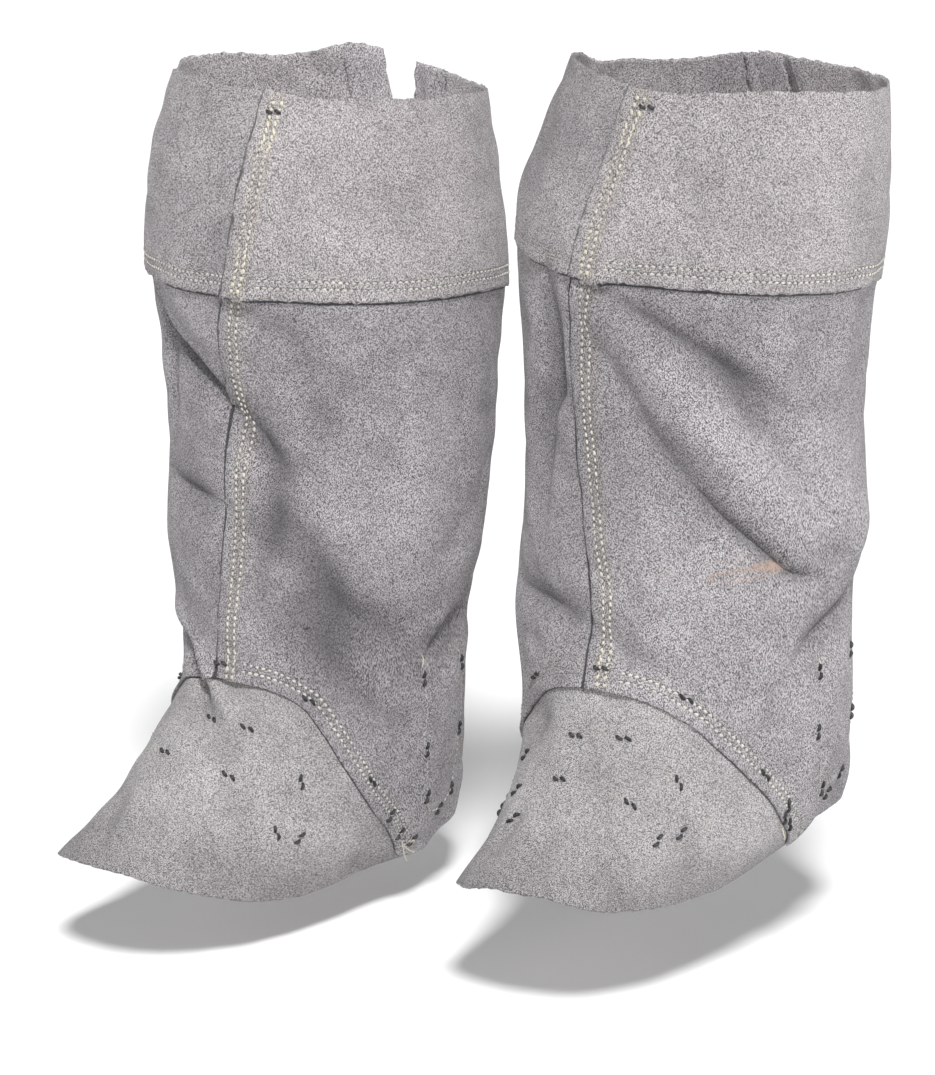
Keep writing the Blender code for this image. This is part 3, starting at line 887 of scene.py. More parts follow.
def make_vamp(legging):
    """The flare over the boot's instep and toe, tucked under both leg panels along the instep seam."""
    around = np.linspace(-TUCK_END, TUCK_END, VAMP_COLUMNS)[:, None]
    low = TUCK_FOOT_UP * eased((np.abs(around) - CORNER) / TUCK_EASE)
    top = np.maximum(seam_height(around), low + TUCK_LEAST_UP) + SEAM_LAP_UP
    up = low + (top - low) * rows_of(VAMP_ROWS)
    around = np.broadcast_to(around, up.shape)
    uv = (around * METRES_PER_DEGREE, (up - low) * LEG_METRES_PER_UP)
    covered = from_instep_seam(legging, around, up)
    make_piece(legging.side, "vamp", around, up, 0.0, uv, covered, VAMP_EDGE_ROUGH)


for legging in LEGGINGS:
    make_vamp(legging)

# %% Leg panels
LEG_COLUMNS = 138
LEG_ROWS = 164
LEG_EDGE_ROUGH = 0.00022
# How far the painted shadow line under the cuff's foot reaches out past the strip that the foot hides from
# the camera.
FOOT_SHADE_SHIFT = 0.0016


def leg_height(legging, around, up, over):
    """How far a leg panel's inner face lies over the base surface."""
    seam = lifted(from_instep_seam(legging, around, up), around, up) * (np.abs(around) < CORNER)
    front = lifted(from_front_edge(around, over), around, up) if over else 0.0
    return leg_layer(around, over) * PITCH + np.maximum(seam, front)


def make_leg_panel(legging, over, word):
    """Half of the leg, from the instep seam and the hem up to its lap under the cuff."""
    around = side_columns(-FRONT_HALF, LEG_COLUMNS, over)
    low = seam_height(around)
    up = low + (legging.cuff_edge + LEG_TOP_UP - low) * rows_of(LEG_ROWS)
    around = np.broadcast_to(around, up.shape)
    uv = (from_front_edge(around, over), from_instep_seam(legging, around, up))
    covered = (up - legging.cuff_edge) * CUFF_METRES_PER_UP + FOOT_SHADE_SHIFT
    if not over:
        covered = np.maximum(covered, under_lap(around))
    height = leg_height(legging, around, up, over)
    make_piece(legging.side, f"leg_{word}", around, up, height, uv, covered, LEG_EDGE_ROUGH)


make_sides(make_leg_panel)

# %% Cuff panels
CUFF_COLUMNS = 150
CUFF_ROWS = 62
CUFF_EDGE_ROUGH = 0.0006
UNCOVERED = -1.0


def cuff_up(legging, nominal, around):
    """The cuff's heights, stretched or shortened above the facings' foot to reach the cut of the rim."""
    foot = legging.cuff_edge + FACING_FOOT_UP
    stretch = (rim_up(legging, around) - foot) / (1 - foot)
    return np.where(nominal > foot, foot + (nominal - foot) * stretch, nominal)


def cuff_height(legging, around, up, over):
    """How far a cuff panel's inner face lies over the base surface."""
    lift = lifted((up - legging.cuff_edge) * CUFF_METRES_PER_UP, around, up)
    if over:
        lift = np.maximum(lift, lifted(from_front_edge(around, over), around, up))
    return cuff_layer(around, over) * PITCH + lift


def make_cuff_panel(legging, over, word):
    """Half of the knee cuff, lapped over the top of the leg and open at the back where it parts."""
    start = side_columns(-FRONT_HALF, CUFF_COLUMNS, over)
    nominal = legging.cuff_edge + (1 - legging.cuff_edge) * rows_of(CUFF_ROWS)
    around = opened(legging, start, nominal)
    up = cuff_up(legging, nominal, around)
    from_front = np.broadcast_to(from_front_edge(start, over), up.shape)
    uv = (from_front, (up - legging.cuff_edge) * CUFF_METRES_PER_UP)
    covered = UNCOVERED if over else under_lap(start)
    height = cuff_height(legging, around, up, over)
    make_piece(legging.side, f"cuff_{word}", around, up, height, uv, covered, CUFF_EDGE_ROUGH)


make_sides(make_cuff_panel)

# %% Facings
FACING_COLUMNS = 16
FACING_ROWS = 44
FACING_DEGREES = 15.4


def make_facing(legging, over, word):
    """The strip inside the cuff's back edge, above the top of the leg panels."""
    start = side_columns(BACK_EDGE - FACING_DEGREES, FACING_COLUMNS, over)
    foot = legging.cuff_edge + FACING_FOOT_UP
    nominal = foot + (1 - foot) * rows_of(FACING_ROWS)
    around = opened(legging, start, nominal)
    up = cuff_up(legging, nominal, around)
    from_back = np.broadcast_to((BACK_EDGE - np.abs(start)) * METRES_PER_DEGREE, up.shape)
    uv = (from_back, (up - foot) * CUFF_METRES_PER_UP)
    height = (cuff_layer(around, over) - 1) * PITCH
    make_piece(legging.side, f"facing_{word}", around, up, height, uv, UNCOVERED, CUFF_EDGE_ROUGH)


make_sides(make_facing)

# %% [markdown]
# ## The finish of the leather
# Split leather is the inner layer of a hide, so both faces have a nap: short fibres that stand in fine
# tufts, pale where their tips catch the light and dark between them. The colour drifts from a warm grey on
# the cuffs to a cooler one on the legs. Where the leather is folded, the ridges are painted paler and the
# hollows painted darker, as the folds' light and shade, and rows of stitches sink into it, with painted
# shade along them.

# %% Sizes of the nap, mottle, painted light and shade, and stitch rows on the leather
NAP_TUFT = 2300.0
NAP_CLUMP = 1900.0
NAP_FIBRE = 3300.0
TUFT_SHARE = 1.6
CLUMP_SHARE = 3.8
FIBRE_SHARE = 4.0
NAP_TURN = math.radians(35)
NAP_STRETCH = 0.62
NAP_BUMP = 0.0011
MOTTLE_LARGE = 11.0
MOTTLE_SMALL = 55.0
# Painted light and shade: how much paler a fold's ridge and darker its hollow are made in the colour, per
# metre of fold.
FOLD_PAINTED_LIGHT_AND_SHADE = 70
LARGE_WEAR = 1.5
SMALL_WEAR = 0.9
TONE_LEVEL = 0.55
ROW_FIRST = 0.0072
ROW_SECOND = 0.0116
ROWS = (ROW_FIRST, ROW_SECOND)
ROW_HALF = 0.0012
ROW_FADE = 0.002
FRONT_ROWS_END = 0.014
BAND_START = (0.004, 0.006)
# Painted shadow: the band of distances inside a covering edge over which the dark line is painted.
COVER_SHADE_FROM = -0.0008
COVER_SHADE_TO = -0.0001
# Painted shade: the fold depths between which the hollows are darkened in the colour, fully at the first.
HOLLOW_DARK = -0.015
HOLLOW_LIGHT = -0.002
# How far up from the hem the vamp is made darker.
HEM_DARKER_REACH = 0.075
HOLLOW_SHADE_SHARE = 0.62
SCUFF_SHARE = 0.7
SCUFF_EDGE = (0.3, 0.9)
# How much darker the cut edges are: partly the raw edge's own colour, partly painted shade of the gap beside
# a seam.
CUT_EDGE_SHADE_SHARE = 0.35
BAND_SHARE = 0.5
# How strongly the painted shade along the sunk stitch rows shows.
ROW_SHADE_SHARE = 0.10
ROW_SINK = 0.6
print("stitch rows", ROWS, "m from an edge")

# %% Colours and finishes of the leather
NAP_SHADE = (0.16, 0.155, 0.16, 1)
NAP_TIPS = (1.84, 1.84, 1.84, 1)
# Painted light: the inner faces are made paler, to light the inside of the open cuff.
INNER_PAINTED_LIGHT = (1.38, 1.38, 1.38, 1)
# How dark the vamp is made at its hem.
HEM_DARKER = (0.50, 0.49, 0.50, 1)
# Painted shade put into the deepest hollows of the folds.
HOLLOW_PAINTED_SHADE = (0.05, 0.05, 0.055, 1)
SCUFF_COLOUR = (0.47, 0.325, 0.245, 1)
# Colour of the cut edges: partly the raw edge's own darker colour, partly painted shade of the gap beside a
# seam.
CUT_EDGE_AND_GAP_SHADE = (0.10, 0.10, 0.105, 1)
# Painted shadow of a covering edge, put into the colour of the leather beside it.
SEAM_SHADOW_PAINT = (0.035, 0.036, 0.042, 1)
SEAM_BAND = (1.03, 1.0, 0.90, 1)
# Painted shade along the sunk stitch rows.
SUNK_ROW_SHADE = (0.62, 0.61, 0.60, 1)

# The last numbers of a finish before its pieces are how strongly it paints the shadow line beside a covering
# edge, and how much darker it grows towards the hem.
Finish = namedtuple("Finish", "name pale deep nap_depth rows cover_shade toe_shade words")
FINISHES = (
    Finish("leg_leather", (0.330, 0.314, 0.324, 1), (0.205, 0.193, 0.201, 1), 0.95, True, 0.9, 0.0,
           ("leg_under", "leg_over")),
    Finish("cuff_leather", (0.375, 0.352, 0.354, 1), (0.262, 0.245, 0.250, 1), 0.88, True, 0.0, 0.0,
           ("cuff_over",)),
    Finish("rough_cuff_leather", (0.350, 0.330, 0.335, 1), (0.225, 0.210, 0.218, 1), 1.0, True, 0.65, 0.0,
           ("cuff_under",)),
    Finish("vamp_leather", (0.375, 0.360, 0.362, 1), (0.255, 0.242, 0.246, 1), 0.85, False, 0.9, 0.6,
           ("vamp",)),
    Finish("facing_leather", (0.330, 0.314, 0.324, 1), (0.205, 0.193, 0.201, 1), 0.95, False, 0.0, 0.0,
           ("facing_under", "facing_over")),
)
print("finishes:", ", ".join(look.name for look in FINISHES))

# %% Split leather


def split_leather(look):
    """Napped split leather between two greys, with sunk rows and a painted shadow line beside a covering
    edge.
    """
    material, tree, place = new_material(look.name)
    cut = node(tree, "ShaderNodeUVMap", {"uv_map": "cut"})
    from_front, from_foot = (node(tree, "ShaderNodeSeparateXYZ", {}, {0: cut}, number) for number in (0, 1))

    brushed = node(tree, "ShaderNodeMapping", {}, {
        "Vector": cut, "Rotation": (0.0, 0.0, NAP_TURN), "Scale": (1.0, NAP_STRETCH, 1.0)})
    tufts = node(tree, "ShaderNodeTexVoronoi", {}, {"Vector": brushed, "Scale": NAP_TUFT}, output=1)
    clumps = noise(tree, brushed, NAP_CLUMP, 1.0, 0.5)
    fibres = noise(tree, place, NAP_FIBRE, 1.0, 0.5)
    large = noise(tree, place, MOTTLE_LARGE)
    small = noise(tree, place, MOTTLE_SMALL, roughness=0.6)
    fold = attribute(tree, "fold")

    # Random mottle, plus painted light and shade from the folds: ridges paler, hollows darker.
    tone_and_fold_shade = fold * FOLD_PAINTED_LIGHT_AND_SHADE + (large - 0.5) * LARGE_WEAR + (small - 0.5) * SMALL_WEAR + TONE_LEVEL
    grey = mixed(tree, tone_and_fold_shade.step(0.0, 1.0), look.deep, look.pale)
    nap = (tufts - 0.5) * TUFT_SHARE + (clumps - 0.5) * CLUMP_SHARE + (fibres - 0.5) * FIBRE_SHARE + 0.5
    nap = mixed(tree, nap.step(0.0, 1.0), NAP_SHADE, NAP_TIPS)
    grey = mixed(tree, look.nap_depth, grey, nap, "MULTIPLY")
    # Painted light on the inner faces, which are made paler.
    grey = mixed(tree, attribute(tree, "inner"), grey, INNER_PAINTED_LIGHT, "MULTIPLY")
    # Darker towards the hem, fading out over a reach from it.
    hem_darker = (1 - from_foot.step(0.0, HEM_DARKER_REACH)) * look.toe_shade
    grey = mixed(tree, hem_darker, grey, HEM_DARKER, "MULTIPLY")
    # Painted shade in the deep hollows of the folds.
    grey = mixed(tree, (1 - fold.step(HOLLOW_DARK, HOLLOW_LIGHT)) * HOLLOW_SHADE_SHARE, grey, HOLLOW_PAINTED_SHADE)
    rub = (attribute(tree, "rubbed") * (0.35 + clumps + (small - 0.5))).step(*SCUFF_EDGE)
    grey = mixed(tree, rub * SCUFF_SHARE, grey, SCUFF_COLOUR)
    # Cut edges darker, partly their own colour and partly painted shade of the seam's gap.
    grey = mixed(tree, attribute(tree, "cut_edge") * CUT_EDGE_SHADE_SHARE, grey, CUT_EDGE_AND_GAP_SHADE)
    # Painted shadow: a thin dark line where a covering edge lies over this piece.
    seam_shadow_mask = attribute(tree, "covered").step(COVER_SHADE_FROM, COVER_SHADE_TO) * look.cover_shade
    grey = mixed(tree, seam_shadow_mask, grey, SEAM_SHADOW_PAINT)

    height = tufts * 0.2 + clumps * 0.5 + fibres * 0.3 + small * 1.5
    if look.rows:
        beyond_front = from_front.step(FRONT_ROWS_END - ROW_FADE, FRONT_ROWS_END)
        sunk = [(1 - (abs(distance - middle) / ROW_HALF).step(0.2, 1.0)) * share
                for distance, share in ((from_front, 1.0), (from_foot, beyond_front)) for middle in ROWS]
        row = sunk[0]
        for other in sunk[1:]:
            row = row.math("MAXIMUM", row, other)
        band_end = from_front.step(FRONT_ROWS_END, FRONT_ROWS_END + ROW_FADE)
        band = from_front.step(*BAND_START) * (1 - band_end)
        grey = mixed(tree, band * BAND_SHARE, grey, SEAM_BAND, "MULTIPLY")
        # Painted shade along the sunk rows.
        grey = mixed(tree, row * ROW_SHADE_SHARE, grey, SUNK_ROW_SHADE, "MULTIPLY")
        height = height - row * ROW_SINK
    finish(tree, {"Base Color": grey, "Roughness": 0.95, "Specular IOR Level": 0.2, "Sheen Weight": 0.12,
                  "Sheen Roughness": 0.5}, height, NAP_BUMP)
    return material


for look in FINISHES:
    leather = split_leather(look)
    for legging in LEGGINGS:
        for word in look.words:
            pieces[legging.side, word].data.materials.append(leather)
    print(leather.name, len(leather.node_tree.nodes), "nodes")

# %% [markdown]
# ## Sewing
# A row of lockstitches is a run of short, slightly bowed lengths of thread, each going down into a needle
# hole. There are about two thousand of them, so a Geometry Nodes tree sets them: it turns guide lines into
# curves, puts a point every stitch length along them, and turns one small thread form to the row's direction
# and to the leather's outward direction. The same tree sets small dark beads half a stitch further on, which
# paint the shade inside the needle holes.

# %% The tree that sets small things along guide lines
TREE_INPUTS = (
    ("Pitch", "Float", 0.003), ("Length", "Float", 0.002), ("Width", "Float", 0.0008),
    ("Height", "Float", 0.0006), ("Shift", "Float", 0.0), ("Tilt", "Float", 0.1),
    ("Spread", "Float", 0.15), ("Sides", "Int", 7), ("Seed", "Int", 1),
)
BEAD_RINGS = 4


def along_lines_tree():
    """Sets a rounded bead on guide lines, with named inputs for its pitch, sizes, turns and seed."""
    tree = bpy.data.node_groups.new("set_along_lines", "GeometryNodeTree")
    tree.interface.new_socket(name="Geometry", in_out="INPUT", socket_type="NodeSocketGeometry")
    for name, kind, default in TREE_INPUTS:
        socket = tree.interface.new_socket(name=name, in_out="INPUT", socket_type=f"NodeSocket{kind}")
        socket.default_value = default
    tree.interface.new_socket(name="Material", in_out="INPUT", socket_type="NodeSocketMaterial")
    tree.interface.new_socket(name="Geometry", in_out="OUTPUT", socket_type="NodeSocketGeometry")
    given = tree.nodes.new("NodeGroupInput")
    names = {socket.name: Value(tree, socket) for socket in given.outputs if socket.name}

    def random_between(low, high):
        return node(tree, "FunctionNodeRandomValue", {"data_type": "FLOAT"},
                    {"Min": low, "Max": high, "Seed": names["Seed"]}, 1)

    curve = node(tree, "GeometryNodeMeshToCurve", {}, {"Mesh": names["Geometry"]})
    even = node(tree, "GeometryNodeResampleCurve", {"mode": "LENGTH"},
                {"Curve": curve, "Length": names["Pitch"]})
    tangent = node(tree, "GeometryNodeInputTangent")
    outward = node(tree, "GeometryNodeInputNamedAttribute", {"data_type": "FLOAT_VECTOR"},
                   {"Name": "outward"})
    turn = node(tree, "FunctionNodeAxesToRotation", {"primary_axis": "X", "secondary_axis": "Z"},
                {0: tangent, 1: outward})
    spin = node(tree, "ShaderNodeCombineXYZ", {}, {"Z": random_between(names["Tilt"] * -1, names["Tilt"])})
    spin = node(tree, "FunctionNodeEulerToRotation", {}, {0: spin})
    turn = node(tree, "FunctionNodeRotateRotation", {"rotation_space": "LOCAL"}, {0: turn, 1: spin})
    bead = node(tree, "GeometryNodeMeshUVSphere", {}, {
        "Segments": names["Sides"], "Rings": BEAD_RINGS, "Radius": 1.0})
    size = node(tree, "ShaderNodeCombineXYZ", {}, {
        "X": names["Length"] * 0.5, "Y": names["Width"] * 0.5, "Z": names["Height"] * 0.5})
    shift = node(tree, "ShaderNodeCombineXYZ", {}, {"X": names["Shift"]})
    bead = node(tree, "GeometryNodeTransform", {}, {"Geometry": bead, "Scale": size, "Translation": shift})
    bead = node(tree, "GeometryNodeSetShadeSmooth", {}, {0: bead})
    set_on = node(tree, "GeometryNodeInstanceOnPoints", {}, {
        "Points": even, "Instance": bead, "Rotation": turn,
        "Scale": random_between(1 - names["Spread"], 1 + names["Spread"])})
    real = node(tree, "GeometryNodeRealizeInstances", {}, {0: set_on})
    done = node(tree, "GeometryNodeSetMaterial", {}, {"Geometry": real, "Material": names["Material"]})
    feed(tree, tree.nodes.new("NodeGroupOutput"), {0: done})
    return tree


set_along_lines = along_lines_tree()
print("tree inputs:", ", ".join(row[0] for row in TREE_INPUTS))

# %% Running the tree on guide lines


def set_along(name, lines, settings):
    """Runs the tree on guide lines and keeps the result as a plain mesh object."""
    points, outwards, edges_of = [], [], []
    for line, outward in lines:
        edges_of += [(len(points) + i, len(points) + i + 1) for i in range(len(line) - 1)]
        points += line.tolist()
        outwards += outward.tolist()
    mesh = bpy.data.meshes.new("guide")
    mesh.from_pydata(points, edges_of, [])
    directions = mesh.attributes.new("outward", "FLOAT_VECTOR", "POINT")
    directions.data.foreach_set("vector", np.asarray(outwards, dtype=np.float32).ravel())
    guide = add_object("guide", mesh)
    modifier = guide.modifiers.new(set_along_lines.name, "NODES")
    modifier.node_group = set_along_lines
    for item in set_along_lines.interface.items_tree:
        if item.in_out == "INPUT" and item.name in settings:
            modifier[item.identifier] = settings[item.name]
    guide.update_tag()
    depsgraph = bpy.context.evaluated_depsgraph_get()
    made = bpy.data.meshes.new_from_object(guide.evaluated_get(depsgraph), depsgraph=depsgraph)
    bpy.data.objects.remove(guide)
    made.name = name
    if "outward" in made.attributes:
        made.attributes.remove(made.attributes["outward"])
    print(f"{name}: {len(made.polygons)} faces")
    return add_object(name, made)


print("tree", set_along_lines.name, "has", len(set_along_lines.nodes), "nodes")

# %% Thread and needle holes
PLY_SCALE = 2600.0
PLY_BUMP = 0.0002
PLY_SHADE = (0.75, 0.75, 0.75, 1)
PLY_LIGHT = (1.1, 1.1, 1.1, 1)
THREAD_MOTTLE = 38.0
HOLE_MOTTLE = 300.0
HOLE_DARK, HOLE_PALE = (0.06, 0.057, 0.056, 1), (0.16, 0.155, 0.153, 1)
STEEL_MOTTLE = 420.0
STEEL_BRIGHT, STEEL_DULL = (0.045, 0.045, 0.048, 1), (0.012, 0.012, 0.013, 1)


def thread_finish(name, pale, deep):
    """Cotton thread between two colours, with the fine turns of its plies."""
    material, tree, place = new_material(name)
    colour = mixed(tree, noise(tree, place, THREAD_MOTTLE, 2.0).step(0.35, 0.65), deep, pale)
    plies = noise(tree, place, PLY_SCALE, 1.0)
    colour = mixed(tree, 1.0, colour, mixed(tree, plies.step(0.3, 0.7), PLY_SHADE, PLY_LIGHT), "MULTIPLY")
    finish(tree, {"Base Color": colour, "Roughness": 0.8}, plies, PLY_BUMP, 0.5)
    return material


def hole_finish():
    """A dark, dull bead that paints the shade inside a needle hole."""
    material, tree, place = new_material("needle_hole")
    colour = mixed(tree, noise(tree, place, HOLE_MOTTLE), HOLE_DARK, HOLE_PALE)
    finish(tree, {"Base Color": colour, "Roughness": 1.0, "Specular IOR Level": 0.0})
    return material


def steel_finish():
    """Dark tarnished staple wire with a few brighter places."""
    material, tree, place = new_material("staple_steel")
    dull = noise(tree, place, STEEL_MOTTLE, 2.0).step(0.35, 0.7)
    colour = mixed(tree, dull, STEEL_BRIGHT, STEEL_DULL)
    finish(tree, {"Base Color": colour, "Roughness": dull * 0.25 + 0.45, "Metallic": 0.3})
    return material


seam_thread = thread_finish("seam_thread", (0.64, 0.625, 0.55, 1), (0.48, 0.47, 0.44, 1))
end_thread = thread_finish("end_thread", (0.69, 0.64, 0.46, 1), (0.56, 0.53, 0.44, 1))
faint_thread = thread_finish("faint_thread", (0.50, 0.48, 0.42, 1), (0.37, 0.355, 0.34, 1))
fibre = thread_finish("edge_fibre", (0.44, 0.42, 0.42, 1), (0.22, 0.21, 0.21, 1))
hole_shadow = hole_finish()
staple_steel = steel_finish()
print("thread, holes and steel ready")

# %% [markdown]
# Each row is a line of places on the leather at a set distance from an edge. The instep seam, the
# front seam and the cuff's foot each have two rows 4.4 mm apart, as a twin-needle machine sews them,
# and where a row ends it is sewn over again in a yellower thread. The rows of the under panels, the
# outline of the band that stiffens the instep and those of the heel's stays nearly vanish in the
# nap, so they get a thinner, greyer thread. Of the under panels' rows, only the right cuff's show.

# %% Sizes of the stitches and rows
STITCH_PITCH = 0.0040
STITCH_LENGTH = 0.0024
STITCH_WIDTH = 0.0015
STITCH_HEIGHT = 0.0008
STITCH_SUNK = STITCH_HEIGHT * 0.12
FAINT_WIDTH = 0.0008
HOLE_SIZE = 0.0009
HOLE_HEIGHT = 0.0002
LINE_STEPS = 160
BACKTACK_UP = 0.042
BACKTACK_DEGREES = 0.35
LAP_SPAN = 5.0
AROUND_PROBE = 1.0
UP_PROBE = 0.01
FRONT_ROW_FROM = 0.007
FRONT_ROW_TO = 0.010
LEG_ROW_UNDER_CUFF = 0.010
CUFF_ROW_FROM = 0.008
BACK_ROW_FROM = 0.012
FACING_ROW_IN = 0.021
FACING_ROW_END = 0.01
UNDER_ROW_IN = 2.0
CORNER_ROW_IN = 1.0
BACK_ROW_IN = 1.5
print("a stitch every", STITCH_PITCH * 1000, "mm")

# %% The instep bands and heel stays
Stay = namedtuple("Stay", "side piece places")
STAYS = tuple(Stay(side, piece, upped(places)) for side, piece, places in (
    ("right", "vamp", (
        (-46, 130), (-30, 190), (-5, 222), (9, 234), (19, 229), (38, 195), (49, 172), (60, 132), (60, 92),
        (52, 80),
    )),
    ("right", "vamp", (
        (-50, 100), (-30, 150), (-5, 173), (9, 170), (24, 163), (40, 139), (50, 109), (58, 85),
    )),
    ("right", "leg", (
        (79, 335), (80, 297), (88, 198), (93, 133), (100, 100), (110, 96), (117, 108), (114, 203),
        (106, 302), (104, 340),
    )),
    ("left", "vamp", (
        (-46, 120), (-30, 190), (-5, 233), (7, 243), (21, 228), (33, 195), (44, 168), (50, 140), (44, 112),
        (38, 104),
    )),
    ("left", "vamp", (
        (-50, 95), (-28, 140), (-4, 170), (3, 170), (12, 165), (22, 155), (31, 138), (44, 112),
    )),
    ("left", "leg", (
        (78, 360), (79, 300), (81, 240), (87, 163), (96, 136), (110, 128), (111, 240), (100, 350),
    )),
))


print("bands and stays:", len(STAYS))

# %% Guide lines on the leather


def line_on(legging, layer, around, up, over=True, above=LEATHER + STITCH_SUNK):
    """A guide line over a piece, whose layer is leg_height, cuff_height or, on a vamp, nothing."""
    height = layer(legging, around, up, over) if layer else 0.0
    return leather_at(legging.side, around, up, height + above)


def beside_seam(legging, distance, around):
    """Places along a line that keeps a distance above the instep seam's edge."""
    up = seam_height(around)
    tangent = unit(np.gradient(plain_surface(legging, around, up), axis=0))
    ahead, behind = (plain_surface(legging, around + probe, up) for probe in (AROUND_PROBE, -AROUND_PROBE))
    above, below = (plain_surface(legging, around, up + probe) for probe in (UP_PROBE, -UP_PROBE))
    ahead, above = ahead - behind, above - below
    turn, rise = -np.sum(above * tangent, axis=-1), np.sum(ahead * tangent, axis=-1)
    step = np.linalg.norm(ahead * turn[:, None] + above * rise[:, None], axis=-1)
    scale = distance * np.sign(rise) / step
    return around + 2 * AROUND_PROBE * turn * scale, up + 2 * UP_PROBE * rise * scale


def beside_lap(legging, distance, up):
    """The angles of a line that keeps a distance from the front lap's edge."""
    edge = plain_surface(legging, np.full(up.shape, -FRONT_HALF), up)
    beyond = plain_surface(legging, np.full(up.shape, LAP_SPAN - FRONT_HALF), up)
    return distance * LAP_SPAN / np.linalg.norm(beyond - edge, axis=-1) - FRONT_HALF


print("rows are read at", LINE_STEPS, "places each")

# %% Rows along the seams


def front_rows(legging, shift, lengths):
    """The front seam's rows on the leg and the cuff. Lengths are shares of a row from its two ends."""
    edge = legging.cuff_edge
    low, top = seam_height(0) + FRONT_ROW_FROM, rim_up(legging, np.zeros(1)) - FRONT_ROW_TO
    stretches = ((low, edge + LEG_ROW_UNDER_CUFF - low, leg_height),
                 (edge + CUFF_ROW_FROM, top - edge - CUFF_ROW_FROM, cuff_height))
    lines = []
    for distance in ROWS:
        for bottom, height, layer in stretches:
            for start, end in lengths(layer is leg_height, height):
                up = bottom + height * np.linspace(start, end, LINE_STEPS)
                lines.append(line_on(legging, layer, beside_lap(legging, distance, up) + shift, up))
    return lines


def whole_row(on_leg, height):
    """One row from end to end."""
    return [(0.0, 1.0)]


def row_ends(on_leg, height):
    """The ends of a row that are sewn over: the leg's lower one, and both of the cuff's."""
    share = BACKTACK_UP / float(np.max(height))
    return [(0.0, share)] if on_leg else [(0.0, share), (1.0 - share, 1.0)]


def side_rows(legging, over):
    """The rows of one side: above the instep seam and above the cuff's foot."""
    sign = 1 if over else -1
    first = FRONT_ROWS_END / METRES_PER_DEGREE - CORNER_ROW_IN if over else FRONT_HALF + UNDER_ROW_IN
    last = 180 + sign * BACK_HALF - BACK_ROW_IN
    lines = []
    for distance in ROWS:
        start = sign * np.linspace(first, CORNER - CORNER_ROW_IN, LINE_STEPS)
        around, up = beside_seam(legging, distance, start)
        lines.append(line_on(legging, leg_height, around, up, over))
        up = np.full(LINE_STEPS, legging.cuff_edge + distance / CUFF_METRES_PER_UP)
        lines.append(line_on(legging, cuff_height, sign * np.linspace(first, last, LINE_STEPS), up, over))
    return lines


def back_row(legging):
    """The row that closes the back of the leg."""
    around = np.full(LINE_STEPS, BACK_EDGE - ROW_FIRST / METRES_PER_DEGREE)
    up = np.linspace(BACK_ROW_FROM, legging.cuff_edge + LEG_ROW_UNDER_CUFF, LINE_STEPS)
    return [line_on(legging, leg_height, around, up)]


print("rows down the right front:", len(front_rows(LEGGINGS[0], 0.0, whole_row)))

# %% Rows of the bands, stays and facings


def stay_rows(legging):
    """The outlines of the instep band and the heel stays; the heel stay has one on each side."""
    lines = []
    for stay in (s for s in STAYS if s.side == legging.side):
        around, up = curve_through(stay.places, LINE_STEPS)
        if stay.piece == "vamp":
            lines.append(line_on(legging, None, around, up))
        else:
            lines.append(line_on(legging, leg_height, around, up))
            lines.append(line_on(legging, leg_height, -around, up, False))
    return lines


def facing_rows(legging):
    """The row through each facing, seen inside the open top."""
    foot = legging.cuff_edge + FACING_FOOT_UP
    nominal = foot + FACING_ROW_END + (1 - foot - 2 * FACING_ROW_END) * np.linspace(0, 1, LINE_STEPS)
    lines = []
    for sign in (1, -1):
        around = opened(legging, sign * (BACK_EDGE - FACING_ROW_IN / METRES_PER_DEGREE), nominal)
        height = (cuff_layer(around, sign > 0) - 1) * PITCH - STITCH_SUNK
        inner, outward = leather_at(legging.side, around, cuff_up(legging, nominal, around), height)
        lines.append((inner, -outward))
    return lines


print("rows of the right stays:", len(stay_rows(LEGGINGS[0])))

# %% Sewing all rows
STITCHES = {"Pitch": STITCH_PITCH, "Length": STITCH_LENGTH, "Width": STITCH_WIDTH, "Height": STITCH_HEIGHT,
            "Tilt": 0.22, "Spread": 0.2, "Material": seam_thread}
ENDS = {**STITCHES, "Tilt": 0.5, "Spread": 0.3, "Material": end_thread}
FAINT = {**STITCHES, "Width": FAINT_WIDTH, "Height": FAINT_WIDTH, "Material": faint_thread}
HOLES = {"Pitch": STITCH_PITCH, "Length": HOLE_SIZE, "Width": HOLE_SIZE, "Height": HOLE_HEIGHT, "Tilt": 0.0,
         "Shift": STITCH_PITCH / 2, "Sides": 5, "Material": hole_shadow}
STITCH_SEED = 5

sewn = {}
for seed, legging in enumerate(LEGGINGS):
    rows = front_rows(legging, 0.0, whole_row) + side_rows(legging, True) + back_row(legging)
    under_rows = side_rows(legging, False)
    ends = front_rows(legging, BACKTACK_DEGREES, row_ends)
    faint = stay_rows(legging) + facing_rows(legging) + under_rows[::2]
    (rows if legging.side == "right" else faint).extend(under_rows[1::2])
    sewn[legging.side] = [
        set_along(f"{legging.side}_{word}", lines, {**sizes, "Seed": STITCH_SEED + seed})
        for word, lines, sizes in (("stitches", rows, STITCHES), ("needle_holes", rows, HOLES),
                                   ("end_stitches", ends, ENDS), ("faint_stitches", faint, FAINT))]

# %% [markdown]
# ## Staples
# Steel staples hold the layers at the ends of the seams, round the instep band and round the heel
# stays. What shows is the clinched side: two short bowed legs of wire, bent in towards each other
# with their points back in the leather. Each leg is swept along a short bent line, and each place
# then gets its own copy, turned to its own direction.

